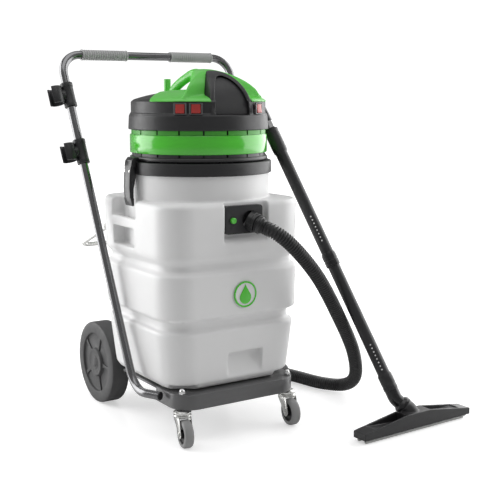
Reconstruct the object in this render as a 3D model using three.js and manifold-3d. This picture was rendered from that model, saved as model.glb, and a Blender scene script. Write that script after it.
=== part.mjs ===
// Wet-and-dry shop vacuum on a trolley, in millimetres, +Z up, floor at z = 0.
// Everything is laid out about the axis of the tank's neck: -Y is the front, +X the right-hand
// side seen from the front.  The last lines move the finished machine over its own footprint.
import * as THREE from 'three';
import { mergeVertices } from 'three/addons/utils/BufferGeometryUtils.js';
import Module from 'manifold-3d';

const GAP = 0.35;
const ROUND = 32;

// Tank
const TANK_HALF = 235;
const TANK_CORNER = 90;
const TANK_WALL = 5;
const TANK_BOTTOM = 149.5;
const LOWER_GROOVE = 341;
const UPPER_GROOVE = 508;
const BLOCK_BOTTOM = 530;
const BLOCK_TOP = 684;
const NECK_RADIUS = 210;
const NECK_TOP = 787;

// Motor head, stacked on the neck
const COLLAR_RADIUS = 217;
const COLLAR_BOTTOM = 757;
const COLLAR_TOP = 793;
const HEAD_RADIUS = 204;
const RIM_BOTTOM = 796;
const BAND_BOTTOM = 817;
const BAND_TOP = 870;
const SHELL_BOTTOM = 884;
const SHELL_LEDGE = 927;
const COVER_BOTTOM = 964;
const DECK_TOP = 1000;
const HOOD_HEIGHT = 98;
const HOOD_RIDGE_Y = -30;
const HOOD_REACH = 116;
const HOOD_HALF = 34;
const HOOD_TAPER = 0.68;
const ARCH_HALF = 70;
const ARCH_HEIGHT = 128;
const ARCH_RIDGE_Y = -60;
const ARCH_REACH = 132;
const ARCH_BACK = -75;
const HOLLOW_DEPTH = 10;
const POST_Y = 191;
const RIB_STEP = 20;
const RIB_START = 14;
const SWITCH_Z = 945.5;
const SWITCH_ANGLES = [-44.5, -32, 28];

// Trolley
const BAND_HALF = 205;
const BAND_FRONT = 240;
const BAND_BACK = 95;
const BAND_LOW = 105;
const BAND_HIGH = 148;
const WHEEL_RADIUS = 131;
const WHEEL_WIDTH = 60;
const WHEEL_OUTSIDE = 220;
const AXLE_Y = 298;
const CASTER_X = 181;
const CASTER_Y = -208;
const CASTER_RADIUS = 40;
const CASTER_WIDTH = 28;
const CASTER_TRAIL = 25;
const TUBE_RADIUS = 12.5;
const HANDLE_LOW_Z = 135;
const HANDLE_TOP_Z = 1106;

// Hose and wand
const HOSE_RADIUS = 21.5;
const WAND_TOP = new THREE.Vector3(236, -25, 890);
const WAND_BOTTOM = new THREE.Vector3(414, -417, 116);
const NOZZLE_CENTRE = new THREE.Vector3(463, -465, 0);
const NOZZLE_LENGTH = 432;
const NOZZLE_TURN = 2.3;

const wasm = await Module();
wasm.setup();

const v = (x, y, z) => new THREE.Vector3(x, y, z);
const sides = [['left', -1], ['right', 1]];

// ---------------------------------------------------------------- solids

// Turns a closed three.js geometry into a solid, welding its seams and facing it outwards.
function solid(geometry) {
  const bare = geometry.clone();
  bare.deleteAttribute('normal');
  bare.deleteAttribute('uv');
  const merged = mergeVertices(bare, 1e-4);
  const place = merged.attributes.position;
  const triangles = [];
  let volume = 0;
  for (let i = 0; i < merged.index.count; i += 3) {
    const [a, b, c] = [0, 1, 2].map((k) => merged.index.getX(i + k));
    if (a === b || b === c || c === a) continue;
    triangles.push([a, b, c]);
    const [p, q, r] = [a, b, c].map((k) => v().fromBufferAttribute(place, k));
    volume += p.dot(q.cross(r));
  }
  if (volume < 0) triangles.forEach((triangle) => triangle.reverse());
  const vertProperties = new Float32Array(place.array);
  const triVerts = new Uint32Array(triangles.flat());
  return new wasm.Manifold(new wasm.Mesh({ numProp: 3, vertProperties, triVerts }));
}

function geometryOf(body) {
  const mesh = body.getMesh();
  const geometry = new THREE.BufferGeometry();
  geometry.setAttribute('position', new THREE.BufferAttribute(mesh.vertProperties, mesh.numProp));
  geometry.setIndex(new THREE.BufferAttribute(mesh.triVerts, 1));
  geometry.computeVertexNormals();
  return geometry;
}

const cut = (body, ...tools) => tools.reduce((left, tool) => left.subtract(tool), body);
const join = (body, ...others) => others.reduce((whole, other) => whole.add(other), body);

function box(x0, x1, y0, y1, z0, z1) {
  const geometry = new THREE.BoxGeometry(x1 - x0, y1 - y0, z1 - z0);
  geometry.translate((x0 + x1) / 2, (y0 + y1) / 2, (z0 + z1) / 2);
  return solid(geometry);
}

// Solid of revolution about a vertical axis; the profile is a list of [radius, z].
function lathe(profile, segments = ROUND, x = 0, y = 0) {
  const closed = profile[0][0] === 0 ? profile : [...profile, profile[0]];
  const points = closed.map(([r, z]) => new THREE.Vector2(r, z));
  const geometry = new THREE.LatheGeometry(points, segments);
  geometry.rotateX(Math.PI / 2);
  geometry.translate(x, y, 0);
  return solid(geometry);
}

const cylinder = (x, y, r, z0, z1, segments = 16) => (
  lathe([[0, z0], [r, z0], [r, z1], [0, z1]], segments, x, y)
);

const ring = (inner, outer, z0, z1) => (
  lathe([[inner, z0], [outer, z0], [outer, z1], [inner, z1]])
);

// Turned piece about any line: profile [radius, distance] measured from `start` towards `end`.
function turned(profile, start, end, segments = 14) {
  const closed = profile[0][0] === 0 ? profile : [...profile, profile[0]];
  const points = closed.map(([r, s]) => new THREE.Vector2(r, s));
  const geometry = new THREE.LatheGeometry(points, segments);
  const direction = end.clone().sub(start).normalize();
  geometry.applyQuaternion(new THREE.Quaternion().setFromUnitVectors(v(0, 1, 0), direction));
  geometry.translate(start.x, start.y, start.z);
  return solid(geometry);
}

function rod(start, end, radius, segments = 12) {
  const length = start.distanceTo(end);
  return turned([[0, 0], [radius, 0], [radius, length], [0, length]], start, end, segments);
}

function extrude(shape, z0, z1, curveSegments = 8) {
  const options = { depth: z1 - z0, bevelEnabled: false, curveSegments };
  const geometry = new THREE.ExtrudeGeometry(shape, options);
  geometry.translate(0, 0, z0);
  return solid(geometry);
}

// Outline drawn in X and Z, pushed from y0 to y1.
function extrudeY(shape, y0, y1, curveSegments = 8) {
  const options = { depth: y1 - y0, bevelEnabled: false, curveSegments };
  const geometry = new THREE.ExtrudeGeometry(shape, options);
  geometry.rotateX(Math.PI / 2);
  geometry.translate(0, y1, 0);
  return solid(geometry);
}

// Outline drawn in Y and Z, pushed from x0 to x1.
function extrudeX(shape, x0, x1, curveSegments = 8) {
  const options = { depth: x1 - x0, bevelEnabled: false, curveSegments };
  const geometry = new THREE.ExtrudeGeometry(shape, options);
  geometry.applyMatrix4(new THREE.Matrix4().makeBasis(v(0, 1, 0), v(0, 0, 1), v(1, 0, 0)));
  geometry.translate(x0, 0, 0);
  return solid(geometry);
}

const polygon = (corners) => new THREE.Shape(corners.map(([a, b]) => new THREE.Vector2(a, b)));

function roundedRectangle(x0, x1, y0, y1, r) {
  const shape = new THREE.Shape();
  shape.moveTo(x0 + r, y0);
  shape.absarc(x1 - r, y0 + r, r, -Math.PI / 2, 0);
  shape.absarc(x1 - r, y1 - r, r, 0, Math.PI / 2);
  shape.absarc(x0 + r, y1 - r, r, Math.PI / 2, Math.PI);
  shape.absarc(x0 + r, y0 + r, r, Math.PI, Math.PI * 1.5);
  return shape;
}

// Skin over a stack of rings with the same number of points each, closed by flat ends.
function skin(rings) {
  const count = rings[0].length;
  const points = rings.flat();
  const triangles = [];
  for (let level = 0; level < rings.length - 1; level += 1) {
    for (let i = 0; i < count; i += 1) {
      const a = level * count + i;
      const b = level * count + ((i + 1) % count);
      triangles.push(a, b, b + count, a, b + count, a + count);
    }
  }
  const last = points.length - count;
  for (let i = 1; i < count - 1; i += 1) {
    triangles.push(0, i + 1, i, last, last + i, last + i + 1);
  }
  const geometry = new THREE.BufferGeometry().setFromPoints(points);
  geometry.setIndex(triangles);
  return solid(geometry);
}

// Square body with rounded corners that changes size on the way up: levels of [z, half, corner].
function squareLoft(levels, grow = 0, steps = 3) {
  return skin(levels.map(([z, half, corner]) => {
    const r = corner + grow;
    const centre = half - corner;
    const points = [];
    for (let quarter = 0; quarter < 4; quarter += 1) {
      for (let step = 0; step <= steps; step += 1) {
        const angle = (quarter + step / steps) * Math.PI / 2;
        const [sx, sy] = [[1, 1], [-1, 1], [-1, -1], [1, -1]][quarter];
        points.push(v(sx * centre + r * Math.cos(angle), sy * centre + r * Math.sin(angle), z));
      }
    }
    return points;
  }));
}

// Round bar along a list of points, its rings kept square to the run and free of twist.
function bar(points, radius, segments = 10) {
  const tangents = points.map((point, i) => {
    const before = points[Math.max(i - 1, 0)];
    const after = points[Math.min(i + 1, points.length - 1)];
    return after.clone().sub(before).normalize();
  });
  let across = v(0, 0, 1).cross(tangents[0]);
  if (across.length() < 0.1) across = v(1, 0, 0);
  return skin(points.map((point, i) => {
    across.addScaledVector(tangents[i], -across.dot(tangents[i])).normalize();
    const up = tangents[i].clone().cross(across);
    return Array.from({ length: segments }, (_, k) => {
      const angle = (2 * Math.PI * k) / segments;
      return point.clone()
        .addScaledVector(across, radius * Math.cos(angle))
        .addScaledVector(up, radius * Math.sin(angle));
    });
  }));
}

// Replaces each inner corner of a run by an arc of the given radius.
function rounded(corners, radii, steps = 5) {
  const points = [corners[0]];
  for (let i = 1; i < corners.length - 1; i += 1) {
    const back = corners[i - 1].clone().sub(corners[i]).normalize();
    const on = corners[i + 1].clone().sub(corners[i]).normalize();
    const half = back.angleTo(on) / 2;
    const start = corners[i].clone().addScaledVector(back, radii[i - 1] / Math.tan(half));
    const middle = back.clone().add(on).normalize();
    const centre = corners[i].clone().addScaledVector(middle, radii[i - 1] / Math.sin(half));
    const axis = on.clone().cross(back).normalize();
    for (let k = 0; k <= steps; k += 1) {
      const arm = start.clone().sub(centre);
      points.push(centre.clone().add(arm.applyAxisAngle(axis, (Math.PI - 2 * half) * k / steps)));
    }
  }
  points.push(corners[corners.length - 1]);
  return points;
}

const curve = (corners, count) => new THREE.CatmullRomCurve3(corners, false, 'centripetal')
  .getSpacedPoints(count);

// Turns a solid about the vertical axis: 0 degrees faces the front, positive towards +X.
const around = (body, degrees) => body.rotate([0, 0, degrees]);

// ---------------------------------------------------------------- parts list

const PAINTS = {
  tank: [0xdfdfdf, 0, 0.45],
  black: [0x2d2d2f, 0, 0.5],
  rubber: [0x3a3a3b, 0, 0.75],
  green: [0x40a82c, 0, 0.4],
  red: [0xc0302a, 0, 0.35],
  grey: [0x8f8f8f, 0, 0.55],
  frame: [0x4a4a4c, 0.3, 0.45],
  chrome: [0xc8c8ca, 0.95, 0.2],
  zinc: [0xb4b4b2, 0.85, 0.4],
  bristle: [0xb9bab4, 0, 0.6],
};

const group = new THREE.Group();

function add(name, body, paint) {
  const [color, metalness, roughness] = PAINTS[paint];
  const material = new THREE.MeshStandardMaterial({ color, metalness, roughness });
  material.name = paint;
  const mesh = new THREE.Mesh(geometryOf(body), material);
  mesh.name = name;
  group.add(mesh);
}

// ---------------------------------------------------------------- tank

const TANK_LEVELS = [
  [TANK_BOTTOM, 184, 60],
  [154, 202, 76],
  [168, 214, 86],
  [318, 228, TANK_CORNER],
  [325, 214, 82],
  [LOWER_GROOVE, 212, 80],
  [352, 213, 80],
  [362, TANK_HALF - 2, TANK_CORNER],
  [484, TANK_HALF, TANK_CORNER],
  [496, 219, 82],
  [UPPER_GROOVE, 217, 80],
  [BLOCK_BOTTOM, TANK_HALF - 2, TANK_CORNER],
  [BLOCK_TOP - 10, TANK_HALF, TANK_CORNER],
  [BLOCK_TOP, TANK_HALF - 10, TANK_CORNER - 8],
];

// Room for one rear wheel, `grow` millimetres larger all round.
function wheelArch(grow) {
  const outline = polygon([
    [142 - grow, 100],
    [142 - grow, 152],
    [240 - grow, 292 + grow],
    [300, 292 + grow],
    [300, 100],
  ]);
  const inside = 156 - grow;
  return join(extrudeX(outline, inside, 300), extrudeX(outline, -300, -inside));
}

// Scooped finger recess low on the front, deep under its top edge and running out flush below.
function handRecess(grow) {
  const outline = polygon([
    [-300, 249 + grow],
    [-194 + grow, 249 + grow],
    [-194 + grow, 232],
    [-214 + grow, 176],
    [-300, 158],
  ]);
  return extrudeX(outline, -33 - grow, 84 + grow);
}

// Notches in the bottom corners that leave room for the nuts of the front casters.
function nutNotches(grow) {
  return join(...sides.map(([, side]) => (
    cylinder(side * CASTER_X, CASTER_Y, 48 + grow, 140, 168 + grow)
  )));
}

function tankBody() {
  const neck = cylinder(0, 0, NECK_RADIUS, BLOCK_TOP - 40, NECK_TOP, ROUND);
  const outside = cut(squareLoft(TANK_LEVELS), wheelArch(0)).add(neck);
  const lower = TANK_LEVELS.slice(1, 11).map(([z, half, corner]) => [z, half, corner]);
  const rooms = [wheelArch(TANK_WALL), handRecess(TANK_WALL), nutNotches(TANK_WALL)];
  const cavity = cut(squareLoft(lower, -TANK_WALL - 3), ...rooms)
    .add(cylinder(0, 0, NECK_RADIUS - 2 * TANK_WALL, UPPER_GROOVE - 5, NECK_TOP + 5, ROUND));
  const sidePockets = sides.flatMap(([, side]) => {
    const [deep, open] = [198, 260].map((x) => x * side).sort((a, b) => a - b);
    const [back, front] = [198, 216].map((x) => x * side).sort((a, b) => a - b);
    return [
      box(deep, open, -38, 114, 631, 760).subtract(cylinder(0, 0, NECK_RADIUS, 600, 780, ROUND)),
      box(deep, open, -25, 107, 546, 602),
      box(back, front, -25, 107, 590, 640).subtract(cylinder(0, 0, NECK_RADIUS, 600, 780, ROUND)),
    ];
  });
  const neckBehindPockets = cylinder(0, 0, NECK_RADIUS, 540, BLOCK_TOP, ROUND);
  const pocketSide = polygon([[-300, 700], [-214, 700], [-214, 590], [-236, 566], [-300, 540]]);
  const inletPocket = extrudeX(pocketSide, -53, 92);
  return cut(outside, ...sidePockets, inletPocket, handRecess(0), nutNotches(0))
    .add(neckBehindPockets)
    .subtract(cavity);
}

function collarRing() {
  return lathe([
    [NECK_RADIUS + GAP, COLLAR_BOTTOM],
    [COLLAR_RADIUS, COLLAR_BOTTOM],
    [COLLAR_RADIUS, COLLAR_TOP - 3],
    [COLLAR_RADIUS - 3, COLLAR_TOP],
    [188, COLLAR_TOP],
    [188, NECK_TOP + GAP],
    [NECK_RADIUS + GAP, NECK_TOP + GAP],
  ]);
}

// Plain round badge with a water drop standing on it.
function badge() {
  const y = -TANK_HALF - 0.6;
  const disc = extrudeY(new THREE.Shape().absarc(13, 420, 38, 0, 2 * Math.PI), y - 2, y, 10);
  const drop = new THREE.Shape();
  drop.moveTo(13, 447);
  drop.quadraticCurveTo(32, 420, 32, 410);
  drop.absarc(13, 410, 19, 0, -Math.PI, true);
  drop.quadraticCurveTo(-6, 420, 13, 447);
  return disc.add(extrudeY(drop, y - 3.5, y - 1, 5));
}

// ---------------------------------------------------------------- motor head

const ribs = (inner, outer, z0, z1) => {
  const one = box(-2.5, 2.5, -outer, -inner, z0, z1);
  return Array.from({ length: 360 / RIB_STEP }, (_, i) => around(one, RIB_START + i * RIB_STEP));
};

const latchRoom = box(-260, 260, -27, 27, RIM_BOTTOM - 4, BAND_BOTTOM + 4);

function headBase() {
  const rim = ring(192, HEAD_RADIUS + 0.5, RIM_BOTTOM, 807);
  const slots = ring(192, 197, 806, BAND_BOTTOM - GAP);
  return rim.add(slots).subtract(latchRoom.subtract(cylinder(0, 0, 198, 780, 830, ROUND)));
}

function exhaustBand() {
  const band = ring(HEAD_RADIUS - 8, HEAD_RADIUS, BAND_BOTTOM, BAND_TOP, ROUND);
  return join(band, ...ribs(197, HEAD_RADIUS - 1, BAND_TOP - 1, SHELL_BOTTOM - GAP));
}

const diffuserCore = () => ring(188, 191.5, RIM_BOTTOM, SHELL_BOTTOM - GAP);

// Height of the round deck at radius r: nearly flat, falling away towards its rim.
const deckHeight = (r) => DECK_TOP - 30 * (r / HEAD_RADIUS) ** 2.5;

function deck(grow) {
  return lathe([
    [0, SHELL_LEDGE + 2],
    [HEAD_RADIUS - 1 + grow, SHELL_LEDGE + 2],
    [HEAD_RADIUS - 1 + grow, COVER_BOTTOM - 5],
    ...[197, 178, 152, 112, 64].map((r) => [r + grow / 2, deckHeight(r) + grow]),
    [0, DECK_TOP + grow],
  ]);
}

// Quarter ellipse in Y and Z that leans back to a level ridge, pushed sideways.
function leaning(ridgeY, reach, low, height, half) {
  const front = Array.from({ length: 13 }, (_, k) => {
    const angle = (Math.PI / 2) * (k / 12);
    return [ridgeY - reach * Math.cos(angle), low + height * Math.sin(angle)];
  });
  const back = [
    [14, low + height],
    [60, SHELL_LEDGE + 40],
    [60, SHELL_LEDGE - 30],
    [ridgeY - reach, SHELL_LEDGE - 30],
  ];
  return extrudeX(polygon([...front, ...back]), -half, half);
}

// Arched hood that is widest at the front and narrows to a ridge under the carry handle.
function hood() {
  const section = (y) => {
    const half = HOOD_HALF - HOOD_TAPER * y;
    const arc = Array.from({ length: 17 }, (_, k) => {
      const angle = (Math.PI * k) / 16;
      return v(half * Math.cos(angle), y, COVER_BOTTOM + HOOD_HEIGHT * Math.sin(angle));
    });
    return [...arc, v(-half, y, SHELL_LEDGE), v(half, y, SHELL_LEDGE)];
  };
  const wedge = skin([section(-210), section(48)]);
  return wedge.intersect(leaning(HOOD_RIDGE_Y, HOOD_REACH, COVER_BOTTOM, HOOD_HEIGHT, 200));
}

// Half-elliptical outline that stands on the level `low`.
function halfEllipse(half, low, height) {
  const shape = new THREE.Shape();
  shape.moveTo(-half, low - 3);
  shape.lineTo(half, low - 3);
  shape.absellipse(0, low, half, height, 0, Math.PI);
  return shape;
}

const archOutline = (grow) => halfEllipse(ARCH_HALF + grow, SHELL_LEDGE, ARCH_HEIGHT + grow);

// Everything behind the front of the arch, `depth` under its surface.
const archFront = (depth) => (
  leaning(ARCH_RIDGE_Y, ARCH_REACH - depth, SHELL_LEDGE, ARCH_HEIGHT - depth, 120)
);

// The D-shaped hollow of the arch, cut straight back as far as `back`.
const archHollow = (grow, back) => (
  extrudeY(halfEllipse(ARCH_HALF - 14 + grow, SHELL_LEDGE + 4, ARCH_HEIGHT - 21 + grow), -260, back)
);

// Window in the switch panel behind one rocker.
const switchRoom = (angle) => around(
  box(-14.5, 14.5, -HEAD_RADIUS - 9, -HEAD_RADIUS + 9.5, SWITCH_Z - 14, SWITCH_Z + 14),
  angle,
);

function headShell() {
  const skirt = lathe([
    [0, SHELL_BOTTOM],
    [HEAD_RADIUS + 4, SHELL_BOTTOM],
    [HEAD_RADIUS + 2.5, SHELL_LEDGE - 2],
    [HEAD_RADIUS - 1, SHELL_LEDGE],
    [HEAD_RADIUS - 1, SHELL_LEDGE + 4],
    [0, SHELL_LEDGE + 4],
  ]);
  const archBlock = extrudeY(archOutline(0), -230, ARCH_BACK)
    .intersect(archFront(0))
    .intersect(cylinder(0, 0, HEAD_RADIUS - 1, 900, 1100, ROUND));
  const hollow = archHollow(0, -100).subtract(archFront(HOLLOW_DEPTH));
  const inside = lathe([[0, 880], [195, 880], [195, 918], [168, 930], [168, 945], [150, 968], [0, 968]]);
  return cut(join(skirt, deck(-3.5), archBlock), hollow, inside, ...SWITCH_ANGLES.map(switchRoom));
}

const archPanel = () => archHollow(-GAP, -101)
  .intersect(archFront(HOLLOW_DEPTH - 4))
  .subtract(archFront(HOLLOW_DEPTH - GAP));

// Plan of the green cover: both flanks, the hood and a tongue back to the cable post.
function coverPlan() {
  const shape = new THREE.Shape();
  shape.moveTo(-230, -98);
  shape.lineTo(-146, -6);
  shape.quadraticCurveTo(-88, 46, -40, POST_Y + 5);
  shape.lineTo(40, POST_Y + 5);
  shape.quadraticCurveTo(88, 46, 146, -6);
  shape.lineTo(230, -98);
  shape.lineTo(230, -230);
  shape.lineTo(-230, -230);
  return shape;
}

function carryHandle() {
  const corners = [
    [-15, 1040], [5, 1046], [22, 1046], [45, 1041.5], [67, 1034], [88, 1027], [111, 1018],
    [135, 1006.5], [155, 992], [166, 970],
  ];
  return bar(curve(corners.map(([y, z]) => v(0, y, z)), 18), 14.5, 14);
}

function topCover() {
  const plate = extrude(coverPlan(), COVER_BOTTOM, 1100).intersect(deck(0).add(hood()));
  const front = extrudeY(archOutline(GAP), -260, ARCH_BACK + GAP);
  const post = box(-10 - GAP, 10 + GAP, POST_Y - 7 - GAP, 260, 900, 1100);
  return join(plate, carryHandle())
    .subtract(deck(-3.5 + GAP))
    .subtract(front)
    .subtract(post);
}

const cablePost = () => extrude(roundedRectangle(-10, 10, POST_Y - 7, POST_Y + 7, 4), 960, 1033)
  .subtract(deck(-3.5 + GAP));

function switchBezel(angle) {
  const frame = box(-19, 19, -HEAD_RADIUS - 2, -HEAD_RADIUS + 0.6, SWITCH_Z - 16, SWITCH_Z + 16);
  const seat = cylinder(0, 0, HEAD_RADIUS - 1 + GAP, 900, 980, ROUND);
  return around(frame, angle).subtract(switchRoom(angle)).subtract(seat);
}

function switchRocker(angle) {
  const y = -HEAD_RADIUS;
  const outline = polygon([
    [y + 5, SWITCH_Z - 9],
    [y - 1, SWITCH_Z - 12.5],
    [y - 5, SWITCH_Z - 12],
    [y - 2.6, SWITCH_Z],
    [y - 2.2, SWITCH_Z + 12.5],
    [y, SWITCH_Z + 12.5],
    [y + 5, SWITCH_Z + 9],
  ]);
  return around(extrudeX(outline, -13, 13), angle);
}

const cableGland = () => turned(
  [[0, 0], [17, 0], [17, 8], [11, 10], [9, 34], [0, 34]],
  v(0, 208, 905),
  v(0, 250, 905),
);

const motorPlate = () => (
  lathe([[68, RIM_BOTTOM + 0.4], [187.6, RIM_BOTTOM + 0.4], [187.6, 800], [68, 800]])
);

const motor = (angle) => around(
  lathe([[0, 884.6], [72, 884.6], [72, 925], [50, 930], [50, 955], [0, 955]], 16, 0, -100),
  angle,
);

function floatCage() {
  const cage = lathe([
    [52, 610],
    [60, 610],
    [60, 770],
    [66, 775],
    [66, 795],
    [58, 795],
    [58, 775],
    [52, 770],
  ], 16);
  const floor = cylinder(0, 0, 56, 606, 611);
  const slot = box(-6, 6, -80, -40, 625, 750);
  return join(cage, floor).subtract(join(slot, ...[90, 180, 270].map((a) => around(slot, a))));
}

function floatBall() {
  const ball = new THREE.SphereGeometry(30, 12, 8);
  ball.translate(0, 0, 642);
  return solid(ball);
}

// Over-centre lever hanging from its pivot beside the head's rim, down past the collar.
function latch(side) {
  const outline = polygon([
    [209, 798],
    [209, 804],
    [212, 807],
    [225, 807],
    [233, 798],
    [241, 720],
    [234, 668],
    [228, 668],
    [227, 716],
    [219, 752],
    [219, 796],
  ]);
  return extrudeY(outline, -22, 22).scale([side, 1, 1]);
}

// ---------------------------------------------------------------- inlet and hose

const INLET_FACE = -232;
const BUTTON_X = -25;
const BUTTON_Z = 634;
const SOCKET = v(40, INLET_FACE, 628);
const SOCKET_WAY = v(32, -58, -25).normalize();
const onSocket = (distance) => SOCKET.clone().addScaledVector(SOCKET_WAY, distance);

const socketSleeve = (outer, start, end) => (
  turned([[0, start], [outer, start], [outer, end], [0, end]], SOCKET, onSocket(100))
);

function inletBlock() {
  const plate = extrudeY(roundedRectangle(-50, 75, 595, 675, 9), INLET_FACE, -214 - GAP);
  const well = rod(v(BUTTON_X, INLET_FACE + 12, BUTTON_Z), v(BUTTON_X, INLET_FACE - 9, BUTTON_Z), 9.5);
  return cut(plate, socketSleeve(29, -20, 60), well);
}

const inletButton = () => turned(
  [[0, 0], [8.5, 0], [8.5, 12], [6.5, 14], [0, 14]],
  v(BUTTON_X, INLET_FACE + 7, BUTTON_Z),
  v(BUTTON_X, INLET_FACE - 20, BUTTON_Z),
);

function inletSocket() {
  const body = socketSleeve(28.6, -12, 16).intersect(box(-100, 200, -400, -214 - GAP, 500, 700));
  const bore = socketSleeve(24.3, 2, 60);
  return body.subtract(bore);
}

const hoseCuffInlet = () => turned(
  [[0, 3], [24, 3], [24, 18], [26.5, 18], [26.5, 30], [HOSE_RADIUS, 36], [0, 36]],
  SOCKET,
  onSocket(100),
);

const WAND_DROP = WAND_BOTTOM.clone().sub(WAND_TOP);
const WAND_LENGTH = WAND_DROP.length();
const WAND_WAY = WAND_DROP.clone().normalize();
const onWand = (distance) => WAND_TOP.clone().addScaledVector(WAND_WAY, distance);
const BEND_END = v(252, 84, 940);
const BEND_WAY = v(0.12, 0.93, -0.35).normalize();

// Hose route: out of the inlet, down to the floor on the right, round behind the machine and
// up again to the bent tube of the wand.
function hose() {
  const route = [
    onSocket(46),
    onSocket(72),
    v(111, -308, 572),
    v(204, -312, 475),
    v(312, -280, 338),
    v(428, -222, 181),
    v(490, -152, 76),
    v(503, -80, 32),
    v(474, -5, HOSE_RADIUS + 1.5),
    v(445, 115, HOSE_RADIUS + 1),
    v(405, 260, HOSE_RADIUS + 1),
    v(330, 385, HOSE_RADIUS + 1.5),
    v(225, 455, 44),
    v(150, 458, 135),
    v(120, 425, 280),
    v(120, 405, 460),
    v(145, 375, 640),
    v(195, 325, 770),
    v(240, 250, 860),
    BEND_END.clone().addScaledVector(BEND_WAY, 110),
    BEND_END.clone().addScaledVector(BEND_WAY, 64),
  ];
  const far = BEND_END.clone().addScaledVector(BEND_WAY, 50.5);
  return bar([onSocket(36.5), ...curve(route, 46), far], HOSE_RADIUS);
}

const hoseCuffWand = () => turned(
  [[0, 0.5], [24, 0.5], [24, 40], [HOSE_RADIUS, 50], [0, 50]],
  BEND_END,
  BEND_END.clone().addScaledVector(BEND_WAY, 100),
);

// ---------------------------------------------------------------- wand and floor head

function wandBend() {
  const run = curve([
    onWand(-11),
    onWand(-22),
    onWand(-36),
    v(225, 22, 957),
    BEND_END.clone().addScaledVector(BEND_WAY, -24),
    BEND_END.clone().addScaledVector(BEND_WAY, -10),
    BEND_END,
  ], 10);
  return bar(run, 17);
}

const wandRing = () => turned([[0, -10], [21, -10], [21, 14], [0, 14]], WAND_TOP, WAND_BOTTOM);

const wandUpper = () => turned([
  [0, 14.5],
  [22, 14.5],
  [22, 90],
  [18.5, 96],
  [18.5, 0.49 * WAND_LENGTH],
  [0, 0.49 * WAND_LENGTH],
], WAND_TOP, WAND_BOTTOM);

const wandJoint = () => turned([
  [0, 0.49 * WAND_LENGTH + GAP],
  [20, 0.49 * WAND_LENGTH + GAP],
  [22, 0.5 * WAND_LENGTH],
  [22, 0.54 * WAND_LENGTH],
  [0, 0.54 * WAND_LENGTH],
], WAND_TOP, WAND_BOTTOM);

const wandLower = () => turned([
  [0, 0.54 * WAND_LENGTH + GAP],
  [18.5, 0.54 * WAND_LENGTH + GAP],
  [18.5, WAND_LENGTH - 52],
  [21.5, WAND_LENGTH - 48],
  [21.5, WAND_LENGTH],
  [0, WAND_LENGTH],
], WAND_TOP, WAND_BOTTOM);

// The elbow and the neck of the floor head meet at a swivel ring square to NECK_WAY.
const ELBOW_CORNER = onWand(WAND_LENGTH + 30);
const NECK_WAY = NOZZLE_CENTRE.clone().setZ(44).sub(ELBOW_CORNER).normalize();
const NECK_START = ELBOW_CORNER.clone().addScaledVector(NECK_WAY, 30);
const onNeck = (distance) => NECK_START.clone().addScaledVector(NECK_WAY, distance);

function nozzleElbow() {
  const run = rounded([onWand(WAND_LENGTH + 0.6), ELBOW_CORNER, onNeck(-0.4)], [40], 4);
  const collar = turned([[0, -14], [20.5, -14], [27, -6], [27, -0.4], [0, -0.4]], NECK_START, onNeck(10));
  return bar(run, 20.5).add(collar);
}

const onNozzle = (body) => body.rotate([0, 0, NOZZLE_TURN])
  .translate([NOZZLE_CENTRE.x, NOZZLE_CENTRE.y, 0]);

function nozzleBody() {
  const half = NOZZLE_LENGTH / 2;
  const front = polygon([[-half, 8], [half, 8], [half, 26], [44, 50], [-44, 50], [-half, 26]]);
  const channel = box(-half + 8, half - 8, -20, 20, 4, 17);
  const hollows = sides.map(([, side]) => {
    const outline = [[46, 60], [46, 24], [165, 32], [165, 60]].map(([x, z]) => [side * x, z]);
    return extrudeY(polygon(outline), -19, 19);
  });
  const block = onNozzle(cut(extrudeY(front, -26, 26), ...hollows));
  const neck = bar([onNeck(0.4), onNeck(24), NOZZLE_CENTRE.clone().setZ(28)], 25);
  const ringAtNeck = turned([[0, 0.4], [27, 0.4], [27, 6], [0, 6]], NECK_START, onNeck(10));
  return join(block, neck, ringAtNeck).subtract(onNozzle(channel));
}

const squeegee = (y) => onNozzle(
  box(-NOZZLE_LENGTH / 2 + 9, NOZZLE_LENGTH / 2 - 9, y - 4, y + 4, 0.5, 16.5),
);

// ---------------------------------------------------------------- trolley

function bumperOutline(inset) {
  const half = BAND_HALF - inset;
  const front = BAND_FRONT - inset;
  const r = 65 - inset;
  const shape = new THREE.Shape();
  shape.moveTo(half, -BAND_BACK + inset * 10);
  shape.lineTo(-half, -BAND_BACK + inset * 10);
  shape.lineTo(-half, -front + r);
  shape.absarc(-half + r, -front + r, r, Math.PI, Math.PI * 1.5);
  shape.absarc(half - r, -front + r, r, -Math.PI / 2, 0);
  return shape;
}

function frontBumper() {
  const inside = extrude(bumperOutline(4), BAND_LOW - 5, BAND_HIGH - 6);
  return extrude(bumperOutline(0), BAND_LOW, BAND_HIGH).subtract(inside);
}

function baseFrame() {
  const inset = BAND_HALF - 45;
  const plate = extrude(roundedRectangle(-inset, inset, -BAND_BACK + 1, 225, 12), 142, BAND_HIGH);
  const shelf = box(-BAND_HALF, BAND_HALF, -BAND_BACK + 1, 120, 142, BAND_HIGH);
  const rails = sides.flatMap(([, side]) => {
    const [x0, x1] = [150, 156].map((x) => x * side).sort((a, b) => a - b);
    return [
      box(x0, x1, -BAND_BACK + 1, 225, 112, 144),
      extrudeX(polygon([[200, 144], [225, 148], [318, 146], [318, 116], [200, 112]]), x0, x1),
    ];
  });
  const bore = rod(v(-200, AXLE_Y, WHEEL_RADIUS), v(200, AXLE_Y, WHEEL_RADIUS), 8.5 + GAP);
  return join(plate, shelf, ...rails).subtract(bore);
}

const rearAxle = () => rod(
  v(-WHEEL_OUTSIDE - 2, AXLE_Y, WHEEL_RADIUS),
  v(WHEEL_OUTSIDE + 2, AXLE_Y, WHEEL_RADIUS),
  8.5,
);

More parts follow.
